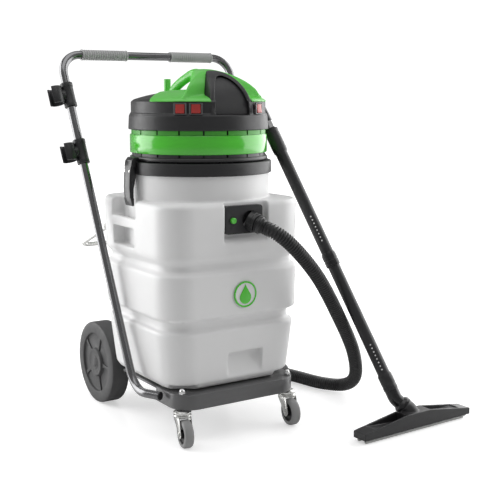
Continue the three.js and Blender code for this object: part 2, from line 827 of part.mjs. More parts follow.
// Wheel turned about the X axis: tread, dished disc with spokes on its outer face, hub.
function rearWheel(side) {
  const outside = v(side * WHEEL_OUTSIDE, AXLE_Y, WHEEL_RADIUS);
  const inside = v(side * (WHEEL_OUTSIDE - WHEEL_WIDTH), AXLE_Y, WHEEL_RADIUS);
  const disc = turned([
    [8.5 + GAP, -1.5],
    [44, -1.5],
    [46, 9],
    [94, 9],
    [97, 0],
    [WHEEL_RADIUS - 4, 0],
    [WHEEL_RADIUS, 4],
    [WHEEL_RADIUS, WHEEL_WIDTH - 5],
    [WHEEL_RADIUS - 5, WHEEL_WIDTH],
    [97, WHEEL_WIDTH],
    [94, 30],
    [30, 30],
    [28, WHEEL_WIDTH],
    [8.5 + GAP, WHEEL_WIDTH],
  ], outside, inside, 22);
  const [x0, x1] = [3, 12].map((x) => side * (WHEEL_OUTSIDE - x)).sort((a, b) => a - b);
  const spoke = box(x0, x1, -5, 5, 42, 98);
  const spokes = Array.from({ length: 5 }, (_, i) => (
    spoke.rotate([72 * i + 20, 0, 0]).translate([0, AXLE_Y, WHEEL_RADIUS])
  ));
  return join(disc, ...spokes);
}

// Casters trail towards the front, turned `angle` degrees about their swivel.
const onCaster = (body, side, angle) => body.rotate([0, 0, angle])
  .translate([side * CASTER_X, CASTER_Y, 0]);

function casterFork(side, angle) {
  const race = lathe([
    [0, 84],
    [23, 84],
    [26, 88],
    [23, 93],
    [26, 98],
    [20, BAND_LOW - 1],
    [8, BAND_LOW - 1],
    [8, BAND_HIGH - 6 - GAP],
    [0, BAND_HIGH - 6 - GAP],
  ], 12);
  const outline = polygon([
    [22, 86],
    [-24, 86],
    [-CASTER_TRAIL - 13, 40],
    [-CASTER_TRAIL - 8, 30],
    [-CASTER_TRAIL + 8, 30],
    [6, 60],
  ]);
  const legs = [extrudeX(outline, -19, -16.5), extrudeX(outline, 16.5, 19)];
  const crown = box(-19, 19, -24, 22, 83, 86);
  const pin = rod(v(-21, -CASTER_TRAIL, CASTER_RADIUS), v(21, -CASTER_TRAIL, CASTER_RADIUS), 4.5);
  return onCaster(join(race, crown, ...legs, pin), side, angle);
}

function casterWheel(side, angle) {
  const body = turned([
    [4.5 + GAP, 0],
    [12, 0],
    [12, 4],
    [28, 4],
    [28, 2],
    [CASTER_RADIUS - 4, 2],
    [CASTER_RADIUS, 6],
    [CASTER_RADIUS, CASTER_WIDTH - 2],
    [CASTER_RADIUS - 4, CASTER_WIDTH + 2],
    [28, CASTER_WIDTH + 2],
    [28, CASTER_WIDTH],
    [12, CASTER_WIDTH],
    [12, CASTER_WIDTH + 4],
    [4.5 + GAP, CASTER_WIDTH + 4],
  ], v(-16, -CASTER_TRAIL, CASTER_RADIUS), v(16, -CASTER_TRAIL, CASTER_RADIUS), 14);
  return onCaster(body, side, angle);
}

const casterNut = (side) => lathe([
  [0, BAND_HIGH + GAP],
  [10, BAND_HIGH + GAP],
  [10, 156],
  [7, 162],
  [0, 165],
], 16, side * CASTER_X, CASTER_Y);

// Tube handle: ends beside the bumper, rises leaning back and meets across the top.
const HANDLE_CORNERS = [
  v(-221, -150, HANDLE_LOW_Z),
  v(-246, -98, HANDLE_LOW_Z),
  v(-246, -36, HANDLE_LOW_Z),
  v(-303, 318, HANDLE_TOP_Z),
];

function handleTube() {
  const left = HANDLE_CORNERS;
  const right = left.map((p) => v(-p.x, p.y, p.z)).reverse();
  return bar(rounded([...left, ...right], [60, 75, 62, 62, 75, 60]), TUBE_RADIUS);
}

// Grip on the left or right half of the top bar: a ribbed sleeve with a flange at each end.
function grip(side) {
  const sleeve = TUBE_RADIUS + GAP;
  const [start, end] = [78, 232].map((x) => v(side * x, HANDLE_CORNERS[3].y, HANDLE_TOP_Z));
  return turned([
    [sleeve, 0],
    [17, 0],
    [17, 4],
    [15.6, 4],
    [15.6, 150],
    [17, 150],
    [17, 154],
    [sleeve, 154],
  ], start, end);
}

const onUpright = (share) => HANDLE_CORNERS[2].clone().lerp(HANDLE_CORNERS[3], share);

// Sleeve round the upright with an open ring on its outer side that holds a tool.
function toolClip(share) {
  const start = onUpright(share - 0.036);
  const end = onUpright(share + 0.036);
  const way = end.clone().sub(start).normalize();
  const outward = v(-1, 0, 0).addScaledVector(way, way.x).normalize();
  const ringStart = onUpright(share - 0.025).addScaledVector(outward, 42);
  const ringEnd = onUpright(share + 0.025).addScaledVector(outward, 42);
  const sleeve = rod(start, end, 19);
  const outer = rod(ringStart, ringEnd, 23, 14);
  const middle = onUpright(share);
  const bridge = rod(
    middle.clone().addScaledVector(outward, 15),
    middle.clone().addScaledVector(outward, 24),
    17,
  );
  const through = (radius, from, to) => rod(
    from.clone().addScaledVector(way, -20),
    to.clone().addScaledVector(way, 20),
    radius,
  );
  const bore = through(TUBE_RADIUS + 1, start, end);
  const hollow = through(18.5, ringStart, ringEnd);
  const mouth = through(
    18.5,
    ringStart.clone().addScaledVector(outward, 24),
    ringEnd.clone().addScaledVector(outward, 24),
  );
  return join(sleeve, outer, bridge).subtract(bore).subtract(hollow).subtract(mouth);
}

function rearBail() {
  const left = [v(-196, TANK_HALF + 1, 578), v(-200, 250, 570), v(-239, 350, 509)];
  const right = left.map((p) => v(-p.x, p.y, p.z)).reverse();
  return bar(rounded([...left, ...right], [12, 20, 20, 12], 3), 7, 8);
}

// ---------------------------------------------------------------- assembly

add('tank_body', tankBody(), 'tank');
add('badge', badge(), 'green');
add('collar_ring', collarRing(), 'black');
add('head_base', headBase(), 'grey');
add('diffuser_core', diffuserCore(), 'black');
add('exhaust_band', exhaustBand(), 'green');
add('head_shell', headShell(), 'black');
add('arch_panel', archPanel(), 'black');
add('top_cover', topCover(), 'green');
add('cable_post', cablePost(), 'green');
SWITCH_ANGLES.forEach((angle, i) => {
  add(`switch_bezel_${i + 1}`, switchBezel(angle), 'rubber');
  add(`switch_rocker_${i + 1}`, switchRocker(angle), 'red');
});
add('cable_gland', cableGland(), 'rubber');
add('motor_plate', motorPlate(), 'zinc');
[60, 180, 300].forEach((angle, i) => add(`motor_${i + 1}`, motor(angle), 'frame'));
add('float_cage', floatCage(), 'rubber');
add('float_ball', floatBall(), 'grey');
sides.forEach(([name, side]) => add(`latch_${name}`, latch(side), 'black'));
add('inlet_block', inletBlock(), 'black');
add('inlet_button', inletButton(), 'green');
add('inlet_socket', inletSocket(), 'rubber');
add('hose_cuff_inlet', hoseCuffInlet(), 'rubber');
add('hose', hose(), 'rubber');
add('hose_cuff_wand', hoseCuffWand(), 'rubber');
add('wand_bend', wandBend(), 'black');
add('wand_ring', wandRing(), 'chrome');
add('wand_upper', wandUpper(), 'black');
add('wand_joint', wandJoint(), 'black');
add('wand_lower', wandLower(), 'black');
add('nozzle_elbow', nozzleElbow(), 'black');
add('nozzle_body', nozzleBody(), 'black');
add('squeegee_front', squeegee(-15), 'bristle');
add('squeegee_rear', squeegee(15), 'bristle');
add('front_bumper', frontBumper(), 'frame');
add('base_frame', baseFrame(), 'frame');
add('rear_axle', rearAxle(), 'zinc');
add('handle_tube', handleTube(), 'chrome');
add('rear_bail', rearBail(), 'chrome');
add('tool_clip_upper', toolClip(0.873), 'black');
add('tool_clip_lower', toolClip(0.7), 'black');
sides.forEach(([name, side]) => {
  add(`rear_wheel_${name}`, rearWheel(side), 'rubber');
  add(`caster_fork_${name}`, casterFork(side, side * 2 - 8), 'zinc');
  add(`caster_wheel_${name}`, casterWheel(side, side * 2 - 8), 'grey');
  add(`caster_nut_${name}`, casterNut(side), 'chrome');
  add(`grip_${name}`, grip(side), 'grey');
});

// Centre the machine (its limp hose left out) over the origin.
const bounds = new THREE.Box3();
group.children.filter((mesh) => !mesh.name.startsWith('hose')).forEach((mesh) => {
  bounds.expandByObject(mesh, true);
});
const centre = bounds.getCenter(v());
group.children.forEach((mesh) => mesh.geometry.translate(-centre.x, -centre.y, -bounds.min.z));

export default group;
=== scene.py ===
"""Looks of the wet-and-dry shop vacuum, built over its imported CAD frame.

Shapes are written in millimetres about the axis of the tank's neck, with -Y the front and z = 0
the floor, and are moved into the row frame in metres as each piece is made.
"""
import math

import bmesh
import bpy
from mathutils import Matrix, Vector
from mathutils.geometry import interpolate_bezier


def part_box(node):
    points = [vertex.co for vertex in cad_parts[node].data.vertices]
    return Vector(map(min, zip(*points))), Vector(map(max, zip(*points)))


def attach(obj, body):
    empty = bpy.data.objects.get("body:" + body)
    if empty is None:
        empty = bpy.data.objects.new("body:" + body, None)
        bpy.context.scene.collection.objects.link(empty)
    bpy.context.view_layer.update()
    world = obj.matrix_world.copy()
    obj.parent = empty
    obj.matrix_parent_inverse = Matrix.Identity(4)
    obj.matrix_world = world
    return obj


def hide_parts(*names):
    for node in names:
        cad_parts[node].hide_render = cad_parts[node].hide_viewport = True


MM = 0.001
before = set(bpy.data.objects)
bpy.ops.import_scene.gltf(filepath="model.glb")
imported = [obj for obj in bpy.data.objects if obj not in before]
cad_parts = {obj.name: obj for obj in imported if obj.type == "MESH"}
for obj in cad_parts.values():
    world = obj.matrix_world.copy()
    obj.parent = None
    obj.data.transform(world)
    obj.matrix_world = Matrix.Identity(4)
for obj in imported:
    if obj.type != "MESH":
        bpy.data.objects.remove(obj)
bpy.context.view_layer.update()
COLLAR_LOW, COLLAR_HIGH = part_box("collar_ring")
AXIS = Vector(((COLLAR_LOW.x + COLLAR_HIGH.x) / 2, (COLLAR_LOW.y + COLLAR_HIGH.y) / 2, 0))
SIDES = (("left", -1), ("right", 1))

# Driving sizes, in millimetres
HEAD_R = 204
NECK_R = 210
SHELL_LOW = 884
SHELL_LEDGE = 927
COVER_LOW = 964
DECK_TOP = 1000
HOOD_HEIGHT = 98
HOOD_RIDGE_Y = -30
HOOD_REACH = 116
HOOD_HALF = 34
HOOD_TAPER = 0.68
HOOD_TAIL_Y = 14
HOOD_TAIL_FALL = 2.06
ARCH_HALF = 70
ARCH_HEIGHT = 128
ARCH_RIDGE_Y = -60
ARCH_REACH = 132
ARCH_BACK = -75
HOLLOW_DEPTH = 10
POST_Y = 191
SWITCH_Z = 945.5
SWITCH_ANGLES = (-44.5, -32, 28)
RIB_STEP = 20
RIB_START = 14
HOSE_R = 21.5
TUBE_R = 12.5
WHEEL_R = 131
WHEEL_WIDTH = 60
WHEEL_OUT = 220
AXLE = (298, WHEEL_R)
CASTER = (181, -208)
CASTER_HUB = (0, -25, 40)
CASTER_TURN = {"left": -10, "right": -6}
BADGE = (13, -235.6, 420)
CLIP_HALF = 0.036
CLIP_RING_HALF = 0.025


# ---------------------------------------------------------------- geometry

def place(point):
    """Millimetres about the neck's axis to metres in the row frame."""
    return Vector(point) * MM + AXIS


def direction(start, end):
    return (Vector(end) - Vector(start)).normalized()


def along(start, way, distance):
    return Vector(start) + Vector(way) * distance


def new_object(name, verts, faces):
    mesh = bpy.data.meshes.new(name)
    mesh.from_pydata([place(v) for v in verts], [], faces)
    mesh.update()
    made = bmesh.new()
    made.from_mesh(mesh)
    bmesh.ops.remove_doubles(made, verts=made.verts, dist=1e-6)
    bmesh.ops.recalc_face_normals(made, faces=made.faces)
    made.to_mesh(mesh)
    made.free()
    obj = bpy.data.objects.new(name, mesh)
    bpy.context.collection.objects.link(obj)
    return obj


def skin(rings, closed=False):
    """Faces over a stack of rings: capped at both ends, or joined end to end when closed."""
    count = len(rings[0])
    verts = [point for ring in rings for point in ring]
    faces = []
    last = len(rings) if closed else len(rings) - 1
    for level in range(last):
        here = level * count
        above = ((level + 1) % len(rings)) * count
        for i in range(count):
            j = (i + 1) % count
            faces.append((here + i, here + j, above + j, above + i))
    if not closed:
        faces.append(tuple(range(count))[::-1])
        faces.append(tuple(range((len(rings) - 1) * count, len(rings) * count)))
    return verts, faces


def basis(way):
    """Two directions square to `way`."""
    way = Vector(way).normalized()
    across = Vector((0, 0, 1)).cross(way)
    if across.length < 0.05:
        across = Vector((1, 0, 0))
    across.normalize()
    return across, way.cross(across)


def turned(name, profile, start=(0, 0, 0), way=(0, 0, 1), segments=96):
    """Solid of revolution: profile [(radius, distance along way), ...], closed on itself."""
    u, v = basis(way)
    way = Vector(way).normalized()
    start = Vector(start)
    solid = profile[0][0] == 0
    rings = []
    for r, s in profile:
        r = max(r, 0.02)
        rings.append([
            start + way * s + (u * math.cos(a) + v * math.sin(a)) * r
            for a in (2 * math.pi * k / segments for k in range(segments))
        ])
    return new_object(name, *skin(rings, closed=not solid))


def both_ways(half):
    """Profile that repeats itself the other way round past its middle, which is at 0."""
    return half + [(r, -s) for r, s in reversed(half)]


def rod(name, r, low, high, start=(0, 0, 0), way=(0, 0, 1), segments=128):
    """Plain cylinder between two distances along `way`."""
    return turned(name, [(0, low), (r, low), (r, high), (0, high)], start, way, segments)


def bar(name, points, radius, segments=24):
    """Round bar along points in millimetres; radius is a number or one per point."""
    points = [Vector(p) for p in points]
    radii = radius if isinstance(radius, (list, tuple)) else [radius] * len(points)
    across = None
    rings = []
    for i, point in enumerate(points):
        way = direction(points[max(i - 1, 0)], points[min(i + 1, len(points) - 1)])
        if across is None:
            across = basis(way)[0]
        across = (across - way * across.dot(way)).normalized()
        up = way.cross(across)
        rings.append([
            point + (across * math.cos(a) + up * math.sin(a)) * radii[i]
            for a in (2 * math.pi * k / segments for k in range(segments))
        ])
    return new_object(name, *skin(rings))


def rounded(corners, radii, steps=12):
    """Points of a run whose inner corners are replaced by arcs."""
    corners = [Vector(c) for c in corners]
    points = [corners[0]]
    for before, corner, after, radius in zip(corners, corners[1:], corners[2:], radii):
        back = direction(corner, before)
        on = direction(corner, after)
        half = back.angle(on) / 2
        start = corner + back * (radius / math.tan(half))
        centre = corner + (back + on).normalized() * (radius / math.sin(half))
        axis = on.cross(back).normalized()
        for k in range(steps + 1):
            turn = Matrix.Rotation((math.pi - 2 * half) * k / steps, 3, axis)
            points.append(centre + turn @ (start - centre))
    points.append(corners[-1])
    return points


def smooth_run(corners, steps=16):
    """Points of a smooth curve through corners: centripetal Catmull-Rom."""
    corners = [Vector(c) for c in corners]
    ends = [corners[0] * 2 - corners[1]] + corners + [corners[-1] * 2 - corners[-2]]
    points = [corners[0]]
    for a, b, c, d in zip(ends, ends[1:], ends[2:], ends[3:]):
        before, here, after = ((q - p).length ** 0.5 for p, q in ((a, b), (b, c), (c, d)))
        leave = (b - a) / before - (c - a) / (before + here) + (c - b) / here
        arrive = (c - b) / here - (d - b) / (here + after) + (d - c) / after
        points += interpolate_bezier(b, b + leave * here / 3, c - arrive * here / 3, c, steps + 1)[1:]
    return points


def evenly(points, count):
    """The same run with `count` equal steps."""
    lengths = [0]
    for a, b in zip(points, points[1:]):
        lengths.append(lengths[-1] + (b - a).length)
    even = []
    i = 0
    for k in range(count + 1):
        wanted = lengths[-1] * k / count
        while i < len(points) - 2 and lengths[i + 1] < wanted:
            i += 1
        share = (wanted - lengths[i]) / (lengths[i + 1] - lengths[i])
        even.append(points[i].lerp(points[i + 1], share))
    return even


def prism(name, outline, low, high, axis="z"):
    """Outline pushed along an axis: drawn in XY for z, in XZ for y, in YZ for x."""
    def point(a, b, c):
        return {"z": (a, b, c), "y": (a, c, b), "x": (c, a, b)}[axis]
    rings = [[point(a, b, c) for a, b in outline] for c in (low, high)]
    return new_object(name, *skin(rings))


def block(name, x0, x1, y0, y1, z0, z1):
    return prism(name, [(x0, y0), (x1, y0), (x1, y1), (x0, y1)], z0, z1)


def arc(cx, cy, r, first, last, steps=12):
    angles = (math.radians(first + (last - first) * k / steps) for k in range(steps + 1))
    return [(cx + r * math.cos(a), cy + r * math.sin(a)) for a in angles]


def rounded_rectangle(x0, x1, y0, y1, r, steps=6):
    corners = ((x1 - r, y1 - r), (x0 + r, y1 - r), (x0 + r, y0 + r), (x1 - r, y0 + r))
    outline = []
    for quadrant, (cx, cy) in enumerate(corners):
        outline += arc(cx, cy, r, 90 * quadrant, 90 * quadrant + 90, steps)
    return outline


def swung(obj, degrees):
    """Turns a piece about the neck's axis."""
    to_axis = Matrix.Translation(AXIS)
    obj.data.transform(to_axis @ Matrix.Rotation(math.radians(degrees), 4, "Z") @ to_axis.inverted())
    return obj


def apply(obj):
    """Makes an object's modifiers part of its mesh."""
    graph = bpy.context.evaluated_depsgraph_get()
    mesh = bpy.data.meshes.new_from_object(obj.evaluated_get(graph))
    obj.modifiers.clear()
    obj.data = mesh
    return obj


def combine(body, how, *tools):
    for tool in tools:
        modifier = body.modifiers.new(how, "BOOLEAN")
        modifier.operation = how
        modifier.solver = "MANIFOLD"
        modifier.object = tool
    apply(body)
    for tool in tools:
        bpy.data.objects.remove(tool)
    return body


def soften(obj, voxel, passes):
    """Remeshes evenly and smooths, which rounds every edge as a mould does."""
    remesh = obj.modifiers.new("remesh", "REMESH")
    remesh.mode = "VOXEL"
    remesh.voxel_size = voxel * MM
    smooth = obj.modifiers.new("smooth", "SMOOTH")
    smooth.factor = 0.5
    smooth.iterations = passes
    apply(obj)
    obj.data.shade_smooth()
    return obj


def bevelled(obj, width, segments=3, angle=35):
    bevel = obj.modifiers.new("bevel", "BEVEL")
    bevel.width = width * MM
    bevel.segments = segments
    bevel.limit_method = "ANGLE"
    bevel.angle_limit = math.radians(angle)
    bevel.harden_normals = False
    apply(obj)
    crisp(obj)
    return obj


def crisp(obj, angle=38):
    obj.data.shade_smooth()
    obj.data.set_sharp_from_angle(angle=math.radians(angle))
    return obj


def joined(name, *objects):
    """One object made of several, without a boolean."""
    made = bmesh.new()
    for obj in objects:
        made.from_mesh(obj.data)
    mesh = bpy.data.meshes.new(name)
    made.to_mesh(mesh)
    made.free()
    for obj in objects:
        bpy.data.objects.remove(obj)
    whole = bpy.data.objects.new(name, mesh)
    bpy.context.collection.objects.link(whole)
    return crisp(whole)


def finish_piece(obj, name, body, look, slot, *nodes):
    """Names a piece, gives it its material, hangs it on the body it rides on and hides the CAD nodes it
    stands for.
    """
    obj.name = name
    obj.data.materials.clear()
    obj.data.materials.append(MATERIALS[look])
    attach(obj, body)
    if nodes:
        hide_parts(*nodes)
    return obj


def stand_in(obj, node, body, look, slot):
    """Finishes the piece that stands for one CAD node and is named after it."""
    return finish_piece(obj, node + "_look", body, look, slot, node)


# ---------------------------------------------------------------- materials

def nodes_of(name):
    material = bpy.data.materials.new(name)
    material.use_nodes = True
    tree = material.node_tree
    return material, tree, tree.nodes["Principled BSDF"]


def fill(node, values):
    """Sets the named inputs of a shader node."""
    for name, value in values.items():
        node.inputs[name].default_value = value


def noise(tree, scale, detail=4):
    coordinates = tree.nodes.new("ShaderNodeTexCoord")
    texture = tree.nodes.new("ShaderNodeTexNoise")
    fill(texture, {"Scale": scale, "Detail": detail, "Roughness": 0.55})
    tree.links.new(coordinates.outputs["Object"], texture.inputs["Vector"])
    return texture


def spread(tree, texture, low, high):
    """Noise value to a range."""
    remap = tree.nodes.new("ShaderNodeMapRange")
    fill(remap, {"From Min": 0.3, "From Max": 0.7, "To Min": low, "To Max": high})
    tree.links.new(texture.outputs["Fac"], remap.inputs["Value"])
    return remap.outputs["Result"]


def tinted(tree, texture, colour, darker):
    ramp = tree.nodes.new("ShaderNodeValToRGB")
    ramp.color_ramp.elements[0].position = 0.3
    ramp.color_ramp.elements[1].position = 0.7
    ramp.color_ramp.elements[0].color = (*[c * darker for c in colour], 1)
    ramp.color_ramp.elements[1].color = (*colour, 1)
    tree.links.new(texture.outputs["Fac"], ramp.inputs["Fac"])
    return ramp.outputs["Color"]


def surface(name, colour, roughness, grain=0.0, grain_scale=900, darker=0.93, metal=0.0, coat=0.0):
    """Moulded or metal surface: slow colour and roughness changes over a fine grain."""
    material, tree, shader = nodes_of(name)
    slow = noise(tree, 9)
    tree.links.new(tinted(tree, slow, colour, darker), shader.inputs["Base Color"])
    worn = noise(tree, 38, 6)
    tree.links.new(spread(tree, worn, roughness * 0.88, roughness * 1.12), shader.inputs["Roughness"])
    fill(shader, {"Metallic": metal, "Coat Weight": coat})
    if grain:
        bump = tree.nodes.new("ShaderNodeBump")
        fill(bump, {"Strength": grain, "Distance": 0.0004})
        tree.links.new(noise(tree, grain_scale, 3).outputs["Fac"], bump.inputs["Height"])
        tree.links.new(bump.outputs["Normal"], shader.inputs["Normal"])
    return material


def make_materials():
    polyethylene = surface("polyethylene", (0.80, 0.80, 0.80), 0.42, 0.10, 500, 0.985)
    shader = polyethylene.node_tree.nodes["Principled BSDF"]
    fill(shader, {"Subsurface Weight": 0.12, "Subsurface Radius": (0.012, 0.012, 0.012)})
    return {
        "tank": polyethylene,
        "black": surface("black moulding", (0.020, 0.020, 0.0215), 0.42, 0.22, 1400, 0.85),
        "gloss": surface("smooth black plastic", (0.012, 0.012, 0.013), 0.3, 0.05, 900, 0.85),
        "rubber": surface("black rubber", (0.02, 0.02, 0.021), 0.38, 0.1, 1200, 0.8),
        "wheel": surface("dark grey wheel rubber", (0.07, 0.07, 0.071), 0.62, 0.3, 800, 0.85),
        "green": surface("green moulding", (0.10, 0.56, 0.06), 0.36, 0.12, 1100, 0.96, coat=0.15),
        "band": surface("green gloss band", (0.075, 0.56, 0.03), 0.2, 0.03, 700, 0.97, coat=0.5),
        "lip": surface("green slotted lip", (0.07, 0.42, 0.04), 0.4, 0.05, 900, 0.9),
        "red": surface("red rocker", (0.42, 0.03, 0.024), 0.24, 0.0, 900, 0.9, coat=0.4),
        "grey": surface("grey soft grip", (0.40, 0.40, 0.402), 0.6, 0.25, 1300, 0.9),
        "tread": surface("grey tread", (0.30, 0.30, 0.30), 0.6, 0.25, 1300, 0.92),
        "rim": surface("dark grey rim", (0.038, 0.038, 0.04), 0.36, 0.1, 1200, 0.9),
        "frame": surface("dark grey powder coat", (0.11, 0.11, 0.112), 0.34, 0.2, 1500, 0.92, coat=0.2),
        "chrome": surface("dark plated tube", (0.21, 0.21, 0.215), 0.22, 0.0, 900, 0.96, metal=1.0),
        "bright": surface("polished nut", (0.8, 0.8, 0.8), 0.14, 0.0, 900, 0.96, metal=1.0),
        "zinc": surface("zinc plate", (0.72, 0.72, 0.70), 0.26, 0.06, 700, 0.88, metal=1.0),
        "strip": surface("pale rubber strip", (0.6, 0.605, 0.59), 0.5, 0.2, 900, 0.85),
        "white": surface("white insert", (0.8, 0.8, 0.8), 0.4, 0.0, 900, 0.96),
        "steel": surface("motor steel", (0.35, 0.35, 0.36), 0.35, 0.1, 900, 0.85, metal=0.9),
    }


MATERIALS = make_materials()


# ---------------------------------------------------------------- camera and hose

def add_camera():
    """Front left, a little below the handle, looking slightly down."""
    data = bpy.data.cameras.new("camera")
    data.sensor_width = 36
    data.lens = 70.2
    data.clip_end = 60
    camera = bpy.data.objects.new("camera", data)
    camera.location = place((-1474, -2536, 979))
    camera.rotation_euler = (math.radians(90 - 8.944), 0, math.radians(-33.17))
    bpy.context.collection.objects.link(camera)
    bpy.context.scene.camera = camera


INLET_FACE = -232
SOCKET = Vector((40, INLET_FACE, 628))
SOCKET_WAY = Vector((32, -58, -25)).normalized()
BEND_END = Vector((252, 84, 940))
BEND_WAY = Vector((0.12, 0.93, -0.35)).normalized()

HOSE_ROUTE = [
    (111, -308, 572),
    (204, -312, 475),
    (312, -280, 338),
    (428, -222, 181),
    (490, -152, 76),
    (503, -80, 32),
    (474, -5, HOSE_R + 1.5),
    (445, 115, HOSE_R + 1),
    (405, 260, HOSE_R + 1),
    (330, 385, HOSE_R + 1.5),
    (225, 455, 44),
    (150, 458, 135),
    (120, 425, 280),
    (120, 405, 460),
    (145, 375, 640),
    (195, 325, 770),
    (240, 250, 860),
]


def add_hose():
    """Corrugated suction hose from the inlet cuff round to the cuff of the bent tube."""
    route = [along(SOCKET, SOCKET_WAY, s) for s in (36.5, 46, 72)]
    route += HOSE_ROUTE
    route += [along(BEND_END, BEND_WAY, s) for s in (110, 64, 50.5)]
    run = smooth_run(route)
    length = sum((b - a).length for a, b in zip(run, run[1:]))
    pitch = 8
    turns = round(length / pitch)
    depth = (0.4, 0.4, 1.2, 4.2, 4.6, 4.2, 1.2)
    points = evenly(run, turns * len(depth))
    radii = [HOSE_R - depth[i % len(depth)] for i in range(len(points))]
    hose = crisp(bar("hose_look", points, radii, 28), 50)
    stand_in(hose, "hose", "machine", "rubber", "rubber")


def add_cuffs():
    """Moulded cuffs that hold the two ends of the hose."""
    inlet = turned("cuff", [
        (0, 3), (24, 3), (24, 17.4), (26, 18), (26.5, 19), (26.5, 22), (25.3, 22.8), (25.3, 24.6),
        (26.5, 25.4), (26.5, 29), (25.6, 30.4), (23.4, 31.4), (22.6, 35), (22, 36), (0, 36),
    ], SOCKET, SOCKET_WAY, 56)
    wand = turned("cuff", [
        (0, 0.5), (23, 0.5), (24, 1.5), (24, 12), (23.2, 13), (23.2, 15), (24, 16), (24, 38), (23.4, 40),
        (22.6, 49), (22, 50), (0, 50),
    ], BEND_END, BEND_WAY, 56)
    for obj, end in ((inlet, "inlet"), (wand, "wand")):
        stand_in(crisp(obj), f"hose_cuff_{end}", "machine", "gloss", "rubber")


# ---------------------------------------------------------------- tank

TANK_LEVELS = [
    (149.5, 186, 62), (152, 196, 72), (158, 205, 78), (172, 214, 86), (314, 227.5, 90),
    (320, 226, 89), (325, 217, 84), (330, 213, 80), (350, 213, 80), (354, 216, 82),
    (359, 229, 88), (363, 233, 90), (478, 235, 90), (485, 234, 90), (490, 228, 86),
    (497, 220, 82), (512, 218, 80), (521, 225, 85), (529, 231, 89), (538, 233, 90),
    (672, 235, 90), (680, 232, 87), (684, 226, 82),
]


def square_loft(name, levels, grow=0):
    rings = []
    for z, half, corner in levels:
        grown = half + grow
        outline = rounded_rectangle(-grown, grown, -grown, grown, corner + grow, 14)
        rings.append([(x, y, z) for x, y in outline])
    return new_object(name, *skin(rings))


def wheel_arch(side, grow):
    outline = [
        (142 - grow, 100), (142 - grow, 152), (240 - grow, 292 + grow), (300, 292 + grow), (300, 100),
    ]
    low, high = sorted((side * (156 - grow), side * 300))
    return prism("arch", outline, low, high, "x")


def hand_recess(grow):
    outline = [
        (-300, 249 + grow), (-194 + grow, 249 + grow), (-194 + grow, 232),
        (-214 + grow, 176), (-300, 158),
    ]
    return prism("recess", outline, -33 - grow, 84 + grow, "x")


def nut_notch(side, grow):
    """Room for a front caster's nut in the bottom corner of the tank."""
    return rod("notch", 48 + grow, 140, 168 + grow, (side * CASTER[0], CASTER[1], 0), segments=48)


def side_pockets(side):
    """Open-topped recess, finger pocket and the gap behind the moulded grip."""
    deep, open_side = sorted((side * 198, side * 260))
    back, front = sorted((side * 198, side * 216))
    return [
        block("pocket", deep, open_side, -38, 114, 631, 760),
        block("pocket", deep, open_side, -25, 107, 546, 602),
        block("pocket", back, front, -25, 107, 590, 640),
    ]


def add_tank():
    outline = [(-300, 700), (-214, 700), (-214, 590), (-236, 566), (-300, 540)]
    inlet = prism("pocket", outline, -53, 92, "x")
    cutters = side_pockets(-1) + side_pockets(1) + [inlet, hand_recess(0)]
    cutters += [room(side, 0) for _, side in SIDES for room in (wheel_arch, nut_notch)]
    tank = combine(square_loft("tank", TANK_LEVELS), "DIFFERENCE", *cutters)
    tank = combine(tank, "UNION", rod("neck", NECK_R, 540, 786.5))
    cavity = square_loft("cavity", TANK_LEVELS[2:17], -8)
    rooms = [room(side, 5) for _, side in SIDES for room in (wheel_arch, nut_notch)]
    cavity = combine(cavity, "DIFFERENCE", hand_recess(5), *rooms)
    cavity = combine(cavity, "UNION", rod("bore", NECK_R - 10, 503, 800))
    tank = combine(tank, "DIFFERENCE", cavity)
    soften(tank, 3.0, 7)
    finish_piece(tank, "tank_look", "machine", "tank", "tank", "tank_body")


def add_badge():
    """Plain round badge with a ring and a water drop."""
    x, y, z = BADGE
    face = (0, -1, 0)
    disc = crisp(turned("badge", [(0, 0.2), (35, 0.2), (35, 1.2), (0, 1.4)], BADGE, face, 72))
    finish_piece(disc, "badge_disc_look", "machine", "white", "tank", "badge")
    profile = [(33, 0.3), (38, 0.3), (38, 2.2), (37.2, 2.8), (33.8, 2.8), (33, 2.2)]
    ring = turned("ring", profile, BADGE, face, 72)
    angles = (math.pi * k / 15 for k in range(11))
    right = [(x + 19 * math.sin(a), z - 9 - 19 * math.cos(a)) for a in angles]
    right += [(x + w, z + h) for w, h in ((13.8, 4.5), (9.4, 12), (4.4, 20), (1.2, 26.5), (0, 29))]
    left = [(2 * x - px, pz) for px, pz in reversed(right[1:-1])]
    drop = bevelled(prism("drop", right + left, y - 3.3, y - 1.0, "y"), 0.7)
    mark = joined("mark", crisp(ring), drop)
    finish_piece(mark, "badge_mark_look", "machine", "band", "green")


def add_collar():
    profile = [
        (210.4, 757), (215.6, 757), (217, 758.6), (217, 789.5), (215.8, 792), (213, 793), (188, 793),
        (188, 787.4), (210.4, 787.4),
    ]
    collar = crisp(turned("collar", profile, segments=160), 30)
    finish_piece(collar, "collar_look", "machine", "black", "black", "collar_ring")


# ---------------------------------------------------------------- motor head

def deck_height(x, y):
    """Height of the round deck: nearly flat, falling away towards its rounded rim."""
    r = math.hypot(x, y)
    past = max(0, min(1, (r - 188) / 15))
    return DECK_TOP - 30 * (r / HEAD_R) ** 2.5 - 13 * (1 - math.sqrt(1 - past ** 2))


def quarter(share):
    """Height share of a quarter ellipse at `share` of its reach."""
    return math.sqrt(max(0, 1 - share ** 2))


def softer(a, b, blend):
    """Larger of two heights, run into each other over `blend`; smaller for a negative blend."""
    share = max(0, min(1, 0.5 + 0.5 * (a - b) / blend))
    return b * (1 - share) + a * share + blend * share * (1 - share)


